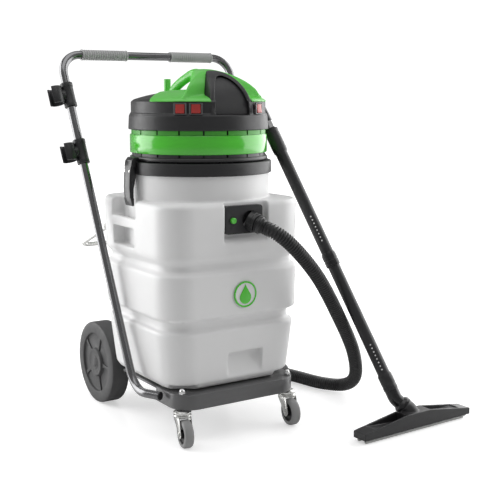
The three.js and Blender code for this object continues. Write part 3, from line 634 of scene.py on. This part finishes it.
def hood_height(x, y):
    """Arched hood: widest at the front, narrowing to the ridge under the carry handle."""
    half = max(HOOD_HALF - HOOD_TAPER * y, 4)
    side = COVER_LOW + HOOD_HEIGHT * quarter(min(1, abs(x) / half))
    front = COVER_LOW + HOOD_HEIGHT * quarter(min(1, max(0, HOOD_RIDGE_Y - y) / HOOD_REACH))
    tail = COVER_LOW + HOOD_HEIGHT - HOOD_TAIL_FALL * (y - HOOD_TAIL_Y)
    return softer(softer(side, front, -12), tail, -8)


def bonnet_height(x, y):
    return softer(hood_height(x, y), deck_height(x, y), 9)


def under(name, height, drop, reach=HEAD_R - 1, rings=60, segments=180, floor=SHELL_LEDGE + 2):
    """Solid below a height field over the head's disc."""
    stack = []
    for k in range(rings + 1):
        r = max(reach * k / rings, 0.05)
        angles = (2 * math.pi * i / segments for i in range(segments))
        loop = [(r * math.cos(a), r * math.sin(a)) for a in angles]
        stack.append([(x, y, height(x, y) - drop) for x, y in loop])
    stack.append([(x, y, floor) for x, y, _ in stack[-1]])
    return new_object(name, *skin(stack))


def half_ellipse(half, low, height, steps=40):
    """Half-elliptical outline that stands on the level `low`."""
    angles = (math.pi * k / steps for k in range(steps + 1))
    top = [(half * math.cos(a), low + height * math.sin(a)) for a in angles]
    return [(half, low - 3)] + top + [(-half, low - 3)]


def arch_prism(grow, back):
    return prism("arch", half_ellipse(ARCH_HALF + grow, SHELL_LEDGE, ARCH_HEIGHT + grow), -260, back, "y")


def hollow_prism(grow, back):
    outline = half_ellipse(ARCH_HALF - 14 + grow, SHELL_LEDGE + 4, ARCH_HEIGHT - 21 + grow)
    return prism("hollow", outline, -260, back, "y")


def arch_front(depth):
    """Everything behind the leaning front of the arch, `depth` under its surface."""
    reach = ARCH_REACH - depth
    height = ARCH_HEIGHT - depth
    angles = (math.pi / 2 * k / 30 for k in range(31))
    front = [(ARCH_RIDGE_Y - reach * math.cos(a), SHELL_LEDGE + height * math.sin(a)) for a in angles]
    low = SHELL_LEDGE - 30
    back = [(60, SHELL_LEDGE + height), (60, low), (ARCH_RIDGE_Y - reach, low)]
    return prism("front", front + back, -120, 120, "x")


def add_shell():
    skirt = turned("skirt", [
        (0, SHELL_LOW), (206.4, SHELL_LOW), (208, SHELL_LOW + 1.6), (205.8, SHELL_LEDGE - 3),
        (205, SHELL_LEDGE - 1.2), (203, SHELL_LEDGE), (203, SHELL_LEDGE + 4), (0, SHELL_LEDGE + 4),
    ], segments=160)
    round_head = rod("round", HEAD_R - 1, 900, 1100)
    front = combine(arch_prism(0, ARCH_BACK), "INTERSECT", arch_front(0), round_head)
    shell = combine(skirt, "UNION", under("deck", deck_height, 3.5, HEAD_R - 4.5), front)
    hollow = combine(hollow_prism(0, -100), "DIFFERENCE", arch_front(HOLLOW_DEPTH))
    inside = turned("inside", [
        (0, 870), (195, 870), (195, 918), (168, 930), (168, 945), (150, 968), (0, 968),
    ])
    before, behind = -HEAD_R - 9, -HEAD_R + 9.5
    windows = [
        swung(block("window", -14.5, 14.5, before, behind, SWITCH_Z - 14, SWITCH_Z + 14), angle)
        for angle in SWITCH_ANGLES
    ]
    shell = combine(shell, "DIFFERENCE", hollow, inside, *windows)
    soften(shell, 1.8, 3)
    stand_in(shell, "head_shell", "head", "black", "black")


def add_arch_panel():
    panel = combine(hollow_prism(-0.5, -101), "INTERSECT", arch_front(HOLLOW_DEPTH - 4))
    panel = combine(panel, "DIFFERENCE", arch_front(HOLLOW_DEPTH - 0.4))
    soften(panel, 1.1, 3)
    stand_in(panel, "arch_panel", "head", "black", "black")


def cover_plan():
    """Plan of the green cover: both flanks, the hood and a tongue back to the cable post."""
    edge = interpolate_bezier(
        Vector((146, -6, 0)), Vector((107, 29, 0)), Vector((72, 96, 0)), Vector((40, POST_Y + 5, 0)), 12
    )
    right = [(230, -98)] + [(p.x, p.y) for p in edge]
    left = [(-x, y) for x, y in reversed(right)]
    return right + left + [(-230, -230), (230, -230)]


def add_cover():
    plate = prism("plan", cover_plan(), COVER_LOW, 1100)
    plate = combine(plate, "INTERSECT", under("bonnet", bonnet_height, 0))
    run = smooth_run([
        (0, -15, 1040), (0, 5, 1046), (0, 22, 1046), (0, 45, 1041.5), (0, 67, 1034), (0, 88, 1027),
        (0, 111, 1018), (0, 135, 1006.5), (0, 155, 992), (0, 166, 970),
    ], 8)
    handle = bar("handle", run, 14.3, 32)
    cover = combine(plate, "UNION", handle)
    post = block("post", -10.4, 10.4, POST_Y - 7.4, 260, 900, 1100)
    under_deck = under("deck", deck_height, 3.1, HEAD_R - 1)
    cover = combine(cover, "DIFFERENCE", under_deck, arch_prism(0.5, ARCH_BACK + 0.4), post)
    soften(cover, 1.7, 3)
    stand_in(cover, "top_cover", "head", "green", "green")


def add_cable_post():
    post = prism("post", rounded_rectangle(-10, 10, POST_Y - 7, POST_Y + 7, 4), 960, 1033)
    post = combine(post, "DIFFERENCE", under("deck", deck_height, 3.1))
    bevelled(post, 2.4, 4)
    stand_in(post, "cable_post", "head", "green", "green")


def slotted_wall(name, inner, outer, z0, z1):
    """Thin ring with a narrow slot at every rib position."""
    wall = turned(name, [(inner, z0), (outer, z0), (outer, z1), (inner, z1)], segments=144)
    slot = (-2.6, 2.6, -outer - 6, -inner + 6, z0 + 1.2, z1 + 2)
    slots = [swung(block("slot", *slot), RIB_START + k * RIB_STEP) for k in range(360 // RIB_STEP)]
    return combine(wall, "DIFFERENCE", *slots)


def add_rings():
    band = crisp(turned("band", [
        (196, 817), (202.6, 817), (204, 818.6), (204, 868.2), (202.6, 870), (196, 870),
    ], segments=160), 50)
    stand_in(band, "exhaust_band", "head", "band", "green")
    lip = crisp(slotted_wall("lip", 197.2, 199.4, 870.1, 883.4))
    finish_piece(lip, "exhaust_lip_look", "head", "lip", "green")
    rim = crisp(turned("rim", [
        (192, 796), (203, 796), (204.5, 797.5), (204.5, 805), (202.5, 807), (192, 807),
    ], segments=160), 50)
    finish_piece(rim, "head_rim_look", "head", "rim", "grey", "head_base")
    grille = crisp(slotted_wall("grille", 195, 198.2, 807.1, 816.6))
    finish_piece(grille, "lower_grille_look", "head", "rim", "black")
    core = crisp(turned("core", [(188, 796), (191.5, 796), (191.5, 883.6), (188, 883.6)], segments=128))
    finish_piece(core, "core_look", "head", "black", "black", "diffuser_core")


def add_switches():
    for i, angle in enumerate(SWITCH_ANGLES, 1):
        outer = rounded_rectangle(-19, 19, SWITCH_Z - 16, SWITCH_Z + 16, 2.5)
        opening = rounded_rectangle(-14.4, 14.4, SWITCH_Z - 13.8, SWITCH_Z + 13.8, 1.5)
        bezel = prism("bezel", outer, -HEAD_R - 2, -HEAD_R + 0.6, "y")
        bezel = combine(bezel, "DIFFERENCE", prism("window", opening, -230, -180, "y"))
        bezel = combine(swung(bezel, angle), "DIFFERENCE", rod("seat", HEAD_R - 0.6, 900, 980))
        bevelled(bezel, 0.6, 2)
        finish_piece(bezel, f"bezel_{i}_look", "head", "frame", "rubber", f"switch_bezel_{i}")
        side_view = (
            (5, -9), (-1, -12.5), (-5, -12), (-3.4, -6), (-2.5, 0), (-2.2, 6), (-2.6, 12.2),
            (0, 12.5), (5, 9),
        )
        profile = [(y - HEAD_R, z + SWITCH_Z) for y, z in side_view]
        rocker = swung(bevelled(prism("rocker", profile, -12.8, 12.8, "x"), 0.8, 3, 30), angle)
        finish_piece(rocker, f"rocker_{i}_look", f"rocker_{i}", "red", "red", f"switch_rocker_{i}")


def add_gland():
    gland = turned("gland", [
        (0, 0), (16, 0), (17, 1), (17, 7), (16, 8), (12, 9), (11, 14), (12, 15), (12, 18), (10.4, 19),
        (10.4, 22), (11.2, 23), (11.2, 26), (9.6, 27), (9.2, 33), (8.4, 34), (0, 34),
    ], (0, 208, 905), (0, 1, 0), 40)
    stand_in(crisp(gland), "cable_gland", "head", "gloss", "rubber")


def add_latches():
    for name, side in SIDES:
        outline = [
            (209, 798), (209, 804), (212, 807), (225, 807), (233, 798), (239, 760), (241, 720),
            (239, 690), (234, 668), (228, 668), (227, 716), (219, 752), (219, 796),
        ]
        lever = prism("lever", [(side * x, z) for x, z in outline], -22, 22, "y")
        waist = [block("waist", -260, 260, y0, y1, 690, 780) for y0, y1 in ((-30, -19.5), (19.5, 30))]
        lever = bevelled(combine(lever, "DIFFERENCE", *waist), 2.2, 3, 30)
        body = f"latch_{name}"
        stand_in(lever, body, body, "gloss", "black")
        head = [(0, 0), (4.2, 0), (4.2, 1), (2.5, 2.2), (0, 2.6)]
        pins = [
            turned("pin", head, (side * 237.4, y, 768), (side, 0, 0.15), 20) for y in (-14, 14)
        ]
        rivets = joined("rivets", *pins)
        finish_piece(rivets, f"{body}_rivets_look", body, "zinc", "zinc")


# ---------------------------------------------------------------- inlet

def add_inlet():
    plate = prism("plate", rounded_rectangle(-50, 75, 595, 675, 10), INLET_FACE, -214.4, "y")
    well = rod("well", 9.5, 0, 30, (-25, INLET_FACE + 12, 634), (0, -1, 0), 40)
    bore = rod("bore", 29, -20, 60, SOCKET, SOCKET_WAY, 64)
    plate = bevelled(combine(plate, "DIFFERENCE", well, bore), 2.6, 4, 50)
    stand_in(plate, "inlet_block", "machine", "black", "black")
    socket = turned("socket", [
        (24.3, 2), (24.3, 14.8), (25.4, 16), (27.4, 16), (28.6, 14.8), (28.6, 9), (27.5, 8.2),
        (27.5, 5.8), (28.6, 5), (28.6, -8), (26, -8), (26, 2),
    ], SOCKET, SOCKET_WAY, 64)
    behind = block("behind", -100, 200, -214.35, -100, 500, 700)
    socket = crisp(combine(socket, "DIFFERENCE", behind))
    stand_in(socket, "inlet_socket", "machine", "gloss", "rubber")
    button = turned("button", [
        (0, 0), (8.5, 0), (8.5, 12.6), (7.6, 13.6), (6.6, 14), (5, 13.4), (0, 13.2),
    ], (-25, INLET_FACE + 7, 634), (0, -1, 0), 40)
    stand_in(crisp(button), "inlet_button", "inlet_button", "green", "green")


# ---------------------------------------------------------------- wand and floor head

WAND_TOP = Vector((236, -25, 890))
WAND_LOW = Vector((414, -417, 116))
WAND_WAY = (WAND_LOW - WAND_TOP).normalized()
WAND_LENGTH = (WAND_LOW - WAND_TOP).length
NOZZLE = Vector((463, -465, 0))
NOZZLE_HALF = 216
NOZZLE_TURN = 2.3
ELBOW_CORNER = along(WAND_TOP, WAND_WAY, WAND_LENGTH + 30)
NECK_WAY = direction(ELBOW_CORNER, NOZZLE + Vector((0, 0, 44)))
NECK_AT = along(ELBOW_CORNER, NECK_WAY, 30)


def on_wand(distance):
    return along(WAND_TOP, WAND_WAY, distance)


def wand_piece(name, profile, look, slot):
    obj = crisp(turned(name, profile, WAND_TOP, WAND_WAY, 56))
    stand_in(obj, name, "machine", look, slot)


def add_wand():
    bend = bar("bend", smooth_run([
        on_wand(-11), on_wand(-22), on_wand(-36), (225, 22, 957),
        along(BEND_END, BEND_WAY, -24), along(BEND_END, BEND_WAY, -10), BEND_END,
    ], 8), 17, 40)
    stand_in(crisp(bend), "wand_bend", "machine", "gloss", "black")
    wand_piece("wand_ring", [
        (0, -10), (19.5, -10), (21, -8.5), (21, 12.5), (19.5, 14), (0, 14),
    ], "bright", "chrome")
    half = 0.49 * WAND_LENGTH
    wand_piece("wand_upper", [
        (0, 14.5), (21, 14.5), (22, 15.5), (22, 24), (21, 25), (21, 28), (22, 29), (22, 84), (21.4, 90),
        (19, 95), (18.5, 97), (18.5, half), (0, half),
    ], "black", "black")
    low = 0.54 * WAND_LENGTH
    wand_piece("wand_joint", [
        (0, half + 0.35), (19.8, half + 0.35), (22, half + 8), (22, half + 22), (21.2, half + 23),
        (21.2, half + 26), (22, half + 27), (22, low - 3), (21, low), (0, low),
    ], "gloss", "black")
    wand_piece("wand_lower", [
        (0, low + 0.35), (18.5, low + 0.35), (18.5, WAND_LENGTH - 54), (19, WAND_LENGTH - 52),
        (21.5, WAND_LENGTH - 47), (21.5, WAND_LENGTH - 18), (20.8, WAND_LENGTH - 17),
        (20.8, WAND_LENGTH - 14), (21.5, WAND_LENGTH - 13), (21.5, WAND_LENGTH - 1),
        (20.8, WAND_LENGTH), (0, WAND_LENGTH),
    ], "black", "black")
    add_wand_dots()


def add_wand_dots():
    """Pale spring buttons and holes where the tubes lock together."""
    front = Vector((-0.55, -0.83, 0))
    outward = (front - WAND_WAY * front.dot(WAND_WAY)).normalized()
    dots = []
    for first in (0.355, 0.835):
        for k in range(8):
            centre = on_wand(first * WAND_LENGTH + 11.5 * k) + outward * 17.7
            dots.append(turned("dot", [(0, 0), (2.4, 0), (2.2, 1), (0, 1.2)], centre, outward, 12))
    finish_piece(joined("dots", *dots), "wand_dots_look", "machine", "white", "bristle")


def add_elbow():
    run = rounded([on_wand(WAND_LENGTH + 0.6), ELBOW_CORNER, along(NECK_AT, NECK_WAY, -0.4)], [40], 12)
    elbow = crisp(bar("elbow", run, 20.5, 48))
    ring = crisp(turned("ring", [
        (19, -14), (20.8, -14), (26.2, -7.6), (27, -6), (27, -1.2), (26.2, -0.4), (19, -0.4),
    ], NECK_AT, NECK_WAY, 56))
    elbow = joined("elbow", elbow, ring)
    finish_piece(elbow, "elbow_look", "machine", "gloss", "black", "nozzle_elbow")


def to_nozzle(obj):
    """Turns and moves a piece drawn about the floor head's middle onto the floor head."""
    centre = Matrix.Translation(place(NOZZLE))
    turn = Matrix.Rotation(math.radians(NOZZLE_TURN), 4, "Z")
    obj.data.transform(centre @ turn @ Matrix.Translation(-AXIS))
    return obj


def nozzle_shell():
    """Low housing, highest in the middle, with a hollow either side of the neck."""
    half = NOZZLE_HALF
    outline = [(-half, 11), (half, 11), (half, 31), (46, 57), (-46, 57), (-half, 31)]
    shell = prism("shell", outline, -26, 26, "y")
    channel = block("channel", -half + 8, half - 8, -20, 20, 4, 17)
    hollows = []
    for side in (-1, 1):
        spine = [(side * x, z) for x, z in ((48, 70), (48, 26), (172, 34), (172, 70))]
        hollows.append(prism("hollow", spine, -19, 19, "y"))
    return combine(shell, "DIFFERENCE", channel, *hollows)


def add_nozzle():
    shell = to_nozzle(nozzle_shell())
    neck_run = smooth_run([
        along(NECK_AT, NECK_WAY, 0.4), along(NECK_AT, NECK_WAY, 24), NOZZLE + Vector((0, 0, 28)),
    ], 8)
    neck = bar("neck", neck_run, 25, 48)
    ring = turned("ring", [
        (0, 0.4), (26.2, 0.4), (27, 1.2), (27, 5.2), (26.2, 6), (0, 6),
    ], NECK_AT, NECK_WAY, 56)
    channel = to_nozzle(block("channel", -NOZZLE_HALF + 8, NOZZLE_HALF - 8, -20, 20, -4, 17))
    collar_room = turned("room", [(0, -60), (29, -60), (29, 0.4), (0, 0.4)], NECK_AT, NECK_WAY, 56)
    shell = combine(shell, "DIFFERENCE", collar_room)
    body = combine(combine(shell, "UNION", neck, ring), "DIFFERENCE", channel)
    soften(body, 1.6, 3)
    finish_piece(body, "floor_head_look", "floor_head", "black", "black", "nozzle_body")
    half = NOZZLE_HALF - 9.5
    pitch = 19.2
    for name, y in (("front", -15), ("rear", 15)):
        strip = bevelled(block("strip", -half, half, y - 3.2, y + 3.2, 4.5, 16.4), 0.5, 2)
        teeth = [
            bevelled(block("tooth", x, x + pitch - 0.9, y - 4, y + 4, 0.6, 7.6), 0.5, 2)
            for x in (-half + pitch * k for k in range(int(2 * half / pitch)))
        ]
        strip = to_nozzle(joined("strip", strip, *teeth))
        stand_in(strip, f"squeegee_{name}", "floor_head", "strip", "bristle")


# ---------------------------------------------------------------- trolley

def bumper_outline(inset, back):
    half = 205 - inset
    front = -240 + inset
    r = 65 - inset
    outline = [(half, back), (-half, back)]
    outline += arc(-half + r, front + r, r, 180, 270, 14)
    outline += arc(half - r, front + r, r, -90, 0, 14)
    return outline


def add_bumper():
    bumper = prism("bumper", bumper_outline(0, -95), 105, 148)
    inside = prism("inside", bumper_outline(4, -40), 90, 142)
    bumper = combine(bumper, "DIFFERENCE", inside)
    bevelled(bumper, 1.4, 3)
    finish_piece(bumper, "bumper_look", "machine", "frame", "frame", "front_bumper")


def add_base():
    plate = prism("plate", rounded_rectangle(-160, 160, -94, 225, 12), 142, 148)
    parts = [block("shelf", -205, 205, -94, 120, 142, 148)]
    for _, side in SIDES:
        low, high = sorted((side * 150, side * 156))
        parts.append(block("rail", low, high, -94, 225, 112, 144))
        outline = [(200, 144), (225, 148), *arc(298, 131, 20, 60, -60, 8), (200, 112)]
        parts.append(prism("arm", outline, low, high, "x"))
    base = combine(plate, "UNION", *parts)
    bore = rod("bore", 8.9, -200, 200, (0, *AXLE), (1, 0, 0), 32)
    base = bevelled(combine(base, "DIFFERENCE", bore), 1.2, 2)
    finish_piece(base, "base_look", "machine", "frame", "frame", "base_frame")
    axle = turned("axle", both_ways([(0, -222), (7, -222), (8.5, -220.5)]), (0, *AXLE), (1, 0, 0), 32)
    finish_piece(crisp(axle), "axle_look", "machine", "zinc", "zinc", "rear_axle")


def add_rear_wheels():
    """Solid rubber wheels: rounded tread, raised rim, five spokes and a ringed hub."""
    for name, side in SIDES:
        outside = (side * WHEEL_OUT, *AXLE)
        inward = (-side, 0, 0)
        disc = turned("disc", [
            (8.85, -1.5), (20, -1.5), (21, -0.4), (38, -0.2), (40, -1.4), (43, -1.4), (45, 0.5),
            (46.5, 7.5), (49, 9), (90, 9), (93, 7.5), (95, 1), (97, 0), (WHEEL_R - 13, 0),
            (WHEEL_R - 5, 0.9), (WHEEL_R - 1.4, 2.6), (WHEEL_R, 6.5), (WHEEL_R, WHEEL_WIDTH - 6.5),
            (WHEEL_R - 1.4, WHEEL_WIDTH - 2.6), (WHEEL_R - 5, WHEEL_WIDTH - 0.9),
            (WHEEL_R - 13, WHEEL_WIDTH), (97, WHEEL_WIDTH), (94, 30), (30, 30), (28, WHEEL_WIDTH),
            (8.85, WHEEL_WIDTH),
        ], outside, inward, 128)
        crisp(disc, 45)
        spokes = []
        for k in range(5):
            angle = math.radians(72 * k + 20)
            low, high = sorted((side * (WHEEL_OUT - 4.5), side * (WHEEL_OUT - 11)))
            outline = [
                (-7.5, 42), (7.5, 42), (4.6, 60), (4.6, 80), (7, 97), (-7, 97), (-4.6, 80), (-4.6, 60),
            ]
            turn = [(y * math.cos(angle) - z * math.sin(angle) + AXLE[0],
                     y * math.sin(angle) + z * math.cos(angle) + AXLE[1]) for y, z in outline]
            spokes.append(bevelled(prism("spoke", turn, low, high, "x"), 1.8, 3, 50))
        wheel = joined("wheel", disc, *spokes)
        stand_in(wheel, f"rear_wheel_{name}", f"wheel_{name}", "wheel", "rubber")
        profile = [(0, -3.4), (12, -3.2), (14, -2.2), (14, -1.6), (0, -1.6)]
        cap = turned("cap", profile, outside, inward, 32)
        finish_piece(crisp(cap), f"wheel_cap_{name}_look", f"wheel_{name}", "wheel", "rubber")


def to_caster(obj, name, side):
    """Turns a caster drawn over its own swivel axis and moves it under its corner."""
    swivel = Matrix.Translation(place((side * CASTER[0], CASTER[1], 0)))
    turn = Matrix.Rotation(math.radians(CASTER_TURN[name]), 4, "Z")
    obj.data.transform(swivel @ turn @ Matrix.Translation(-AXIS))
    return obj


def add_caster_fork(name, side):
    race = crisp(turned("race", [
        (0, 84), (21, 84), (24, 85), (25.6, 87), (26, 89), (25, 91.4), (22.6, 92.6), (22.6, 93.4),
        (25, 94.6), (26, 97), (25.4, 99.4), (22, 101.6), (20, 103), (8, 104), (8, 141.6), (0, 141.6),
    ], segments=56))
    legs = []
    for x0, x1 in ((-19, -16.6), (16.6, 19)):
        outline = [(22, 86), (-24, 86), (-38, 44), *arc(-25, 40, 12.5, 160, 320, 10), (4, 60), (21, 76)]
        legs.append(bevelled(prism("leg", outline, x0, x1, "x"), 0.7, 2))
    crown = bevelled(block("crown", -19, 19, -24, 22, 83, 86), 1.0, 2)
    pin = crisp(turned("pin", both_ways([(0, -22), (3.5, -22), (4.5, -21)]), CASTER_HUB, (1, 0, 0), 24))
    heads = []
    for s in (-21, 19.4):
        profile = [(4.6, s), (7.6, s), (7.6, s + 1.6), (4.6, s + 1.6)]
        heads.append(crisp(turned("head", profile, CASTER_HUB, (1, 0, 0), 6)))
    fork = to_caster(joined("fork", race, crown, pin, *legs, *heads), name, side)
    stand_in(fork, f"caster_fork_{name}", f"swivel_{name}", "zinc", "zinc")


def add_caster_wheel(name, side):
    tread = turned("tread", both_ways([
        (28.4, -12), (29, -13.4), (34, -14), (37.4, -12.6), (39.6, -9), (40, -5),
    ]), CASTER_HUB, (1, 0, 0), 72)
    tread = to_caster(crisp(tread, 50), name, side)
    body = f"caster_{name}"
    finish_piece(tread, f"caster_tread_{name}_look", body, "tread", "grey", f"caster_wheel_{name}")
    hub = turned("hub", both_ways([
        (4.9, -15.6), (11, -15.6), (12, -14.8), (12.6, -9), (24, -8), (26.4, -12), (28.3, -12.6),
    ]), CASTER_HUB, (1, 0, 0), 56)
    hub = to_caster(crisp(hub, 40), name, side)
    finish_piece(hub, f"caster_hub_{name}_look", body, "gloss", "rubber")


def add_caster_nut(name, side):
    spot = (side * CASTER[0], CASTER[1], 0)
    hexagon = bevelled(rod("nut", 9.9, 148.4, 156, spot, segments=6), 0.6, 2)
    dome = crisp(turned("dome", [
        (0, 155.5), (7.6, 155.5), (7.4, 158.5), (6.2, 161.6), (4, 163.9), (0, 165),
    ], spot, segments=32))
    nut = joined("nut", hexagon, dome)
    stand_in(nut, f"caster_nut_{name}", "machine", "bright", "chrome")


def add_casters():
    for name, side in SIDES:
        add_caster_fork(name, side)
        add_caster_wheel(name, side)
        add_caster_nut(name, side)


HANDLE_LEFT = [
    Vector(corner)
    for corner in ((-221, -150, 135), (-246, -98, 135), (-246, -36, 135), (-303, 318, 1106))
]


def mirrored(points):
    return [Vector((-p.x, p.y, p.z)) for p in reversed(points)]


def add_handle():
    corners = HANDLE_LEFT + mirrored(HANDLE_LEFT)
    run = rounded(corners, [60, 75, 62, 62, 75, 60], 16)
    tube = crisp(bar("tube", run, TUBE_R, 40), 60)
    stand_in(tube, "handle_tube", "machine", "chrome", "chrome")
    profile = [(0, 0.2), (12.4, 0.2), (12.4, 1.6), (10, 3.2), (0, 3.6)]
    plugs = [
        turned("plug", profile, point, direction(toward, point), 32)
        for point, toward in ((run[0], run[1]), (run[-1], run[-2]))
    ]
    finish_piece(joined("plugs", *plugs), "handle_plugs_look", "machine", "gloss", "rubber")


def add_grips():
    """Ribbed soft grips with a flange at each end."""
    y, z = HANDLE_LEFT[3].y, HANDLE_LEFT[3].z
    for name, side in SIDES:
        profile = [(12.85, 0), (16.4, 0), (17, 0.8), (17, 3.4), (16.4, 4.2), (15.2, 4.8)]
        for k in range(18):
            s = 8 + 7.8 * k
            profile += [(14.6, s), (16.2, s + 1.2), (16.2, s + 4.4), (14.6, s + 5.6)]
        profile += [(15.2, 149.2), (16.4, 149.8), (17, 150.6), (17, 153.2), (16.4, 154), (12.85, 154)]
        grip = crisp(turned("grip", profile, (side * 78, y, z), (side, 0, 0), 40), 30)
        stand_in(grip, f"grip_{name}", "machine", "grey", "grey")


def add_clip(name, share):
    """Sleeve round the upright with an open sprung ring that holds a tool."""
    foot, head = HANDLE_LEFT[2], HANDLE_LEFT[3]
    start = foot.lerp(head, share - CLIP_HALF)
    way = direction(foot, head)
    length = (head - foot).length * 2 * CLIP_HALF
    outward = (Vector((-1, 0, 0)) + way * way.x).normalized()
    ring_start = foot.lerp(head, share - CLIP_RING_HALF) + outward * 42
    ring_length = (head - foot).length * 2 * CLIP_RING_HALF

    sleeve = turned("sleeve", [
        (0, 0), (18, 0), (19, 1), (19, 12), (18, 13), (18, length - 13), (19, length - 12),
        (19, length - 1), (18, length), (0, length),
    ], start, way, 48)
    middle = foot.lerp(head, share)
    bridge = rod("bridge", 17, 14, 25, middle, outward, 40)
    ring = rod("ring", 23, 0, ring_length, ring_start, way, 48)
    clip = combine(sleeve, "UNION", ring, bridge)
    clip = combine(
        clip, "DIFFERENCE",
        rod("bore", TUBE_R + 0.6, -20, length + 20, start, way, 48),
        rod("hollow", 18.5, -20, length + 20, ring_start, way, 48),
        rod("mouth", 18.5, -20, length + 20, ring_start + outward * 24, way, 48),
    )
    bevelled(clip, 0.9, 2)
    stand_in(clip, name, "machine", "black", "black")


def add_bail():
    left = [Vector(p) for p in ((-196, 236, 578), (-200, 250, 570), (-239, 350, 509))]
    run = rounded(left + mirrored(left), [12, 20, 20, 12], 8)
    bail = crisp(bar("bail", run, 7, 28), 60)
    stand_in(bail, "rear_bail", "machine", "zinc", "chrome")
    profile = [(0, 0.3), (12, 0.3), (12, 1.6), (7.4, 3.2), (0, 3.2)]
    feet = [turned("foot", profile, (side * 196, 235.3, 578), (0, 1, 0), 28) for _, side in SIDES]
    finish_piece(joined("feet", *feet), "bail_feet_look", "machine", "zinc", "chrome")


def dress_inside():
    """Pieces hidden until the head lifts keep their CAD shape."""
    looks = {
        "motor_plate": "zinc", "motor_1": "steel", "motor_2": "steel", "motor_3": "steel",
        "float_cage": "rubber", "float_ball": "white",
    }
    for node, look in looks.items():
        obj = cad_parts[node]
        for material_slot in obj.material_slots:
            material_slot.material = MATERIALS[look]


# ---------------------------------------------------------------- stage

def seen(tree, value):
    """`value` for camera rays, nothing for the rays that light the machine."""
    rays = tree.nodes.new("ShaderNodeLightPath")
    product = tree.nodes.new("ShaderNodeMath")
    product.operation = "MULTIPLY"
    tree.links.new(rays.outputs["Is Camera Ray"], product.inputs[0])
    tree.links.new(value, product.inputs[1])
    return product.outputs["Value"]


def add_floor():
    """Glossy white table that glows for the camera, so it fades into the background."""
    material, tree, shader = nodes_of("floor")
    fill(shader, {
        "Base Color": (0.85, 0.85, 0.85, 1), "Emission Color": (1, 1, 1, 1), "Roughness": 0.16,
    })
    spot = tree.nodes.new("ShaderNodeNewGeometry")
    reach = tree.nodes.new("ShaderNodeVectorMath")
    reach.operation = "LENGTH"
    tree.links.new(spot.outputs["Position"], reach.inputs[0])
    glow = tree.nodes.new("ShaderNodeMapRange")
    fill(glow, {"From Min": 0.9, "From Max": 2.2, "To Min": 0.5, "To Max": 1.1})
    tree.links.new(reach.outputs["Value"], glow.inputs["Value"])
    tree.links.new(seen(tree, glow.outputs["Result"]), shader.inputs["Emission Strength"])
    size = 12000
    corners = [(-size, -size, -0.6), (size, -size, -0.6), (size, size, -0.6), (-size, size, -0.6)]
    floor = new_object("floor", corners, [(0, 1, 2, 3)])
    floor.data.materials.append(material)


def add_light(name, spot, target, size, power):
    data = bpy.data.lights.new(name, "AREA")
    data.shape = "RECTANGLE"
    data.size, data.size_y = size
    data.energy = power
    light = bpy.data.objects.new(name, data)
    light.location = place(spot)
    light.rotation_euler = direction(spot, target).to_track_quat("-Z", "Y").to_euler()
    bpy.context.collection.objects.link(light)


def add_world():
    """White backdrop for the camera, a dimmer one for everything that it lights."""
    world = bpy.data.worlds.new("studio")
    world.use_nodes = True
    tree = world.node_tree
    background = tree.nodes["Background"]
    fill(background, {"Color": (1, 1, 1, 1)})
    rays = tree.nodes.new("ShaderNodeLightPath")
    strength = tree.nodes.new("ShaderNodeMapRange")
    fill(strength, {"To Min": 0.33, "To Max": 1.1})
    tree.links.new(rays.outputs["Is Camera Ray"], strength.inputs["Value"])
    tree.links.new(strength.outputs["Result"], background.inputs["Strength"])
    bpy.context.scene.world = world


def add_lights():
    middle = (0, 0, 600)
    add_light("left", (-1900, 1900, 1000), middle, (2.4, 3.0), 84)
    add_light("right", (2300, -200, 1000), middle, (3.4, 3.0), 84)
    add_light("top", (-300, -300, 3200), middle, (3.0, 3.0), 34)
    add_world()
    bpy.context.scene.view_settings.view_transform = "Standard"


# ---------------------------------------------------------------- the whole machine

def build():
    add_camera()
    add_cuffs()
    add_hose()
    add_tank()
    add_badge()
    add_collar()
    add_shell()
    add_arch_panel()
    add_cover()
    add_cable_post()
    add_rings()
    add_switches()
    add_gland()
    add_latches()
    add_inlet()
    add_wand()
    add_elbow()
    add_nozzle()
    add_bumper()
    add_base()
    add_rear_wheels()
    add_casters()
    add_handle()
    add_grips()
    add_clip("tool_clip_upper", 0.873)
    add_clip("tool_clip_lower", 0.7)
    add_bail()
    dress_inside()
    add_floor()
    add_lights()


build()
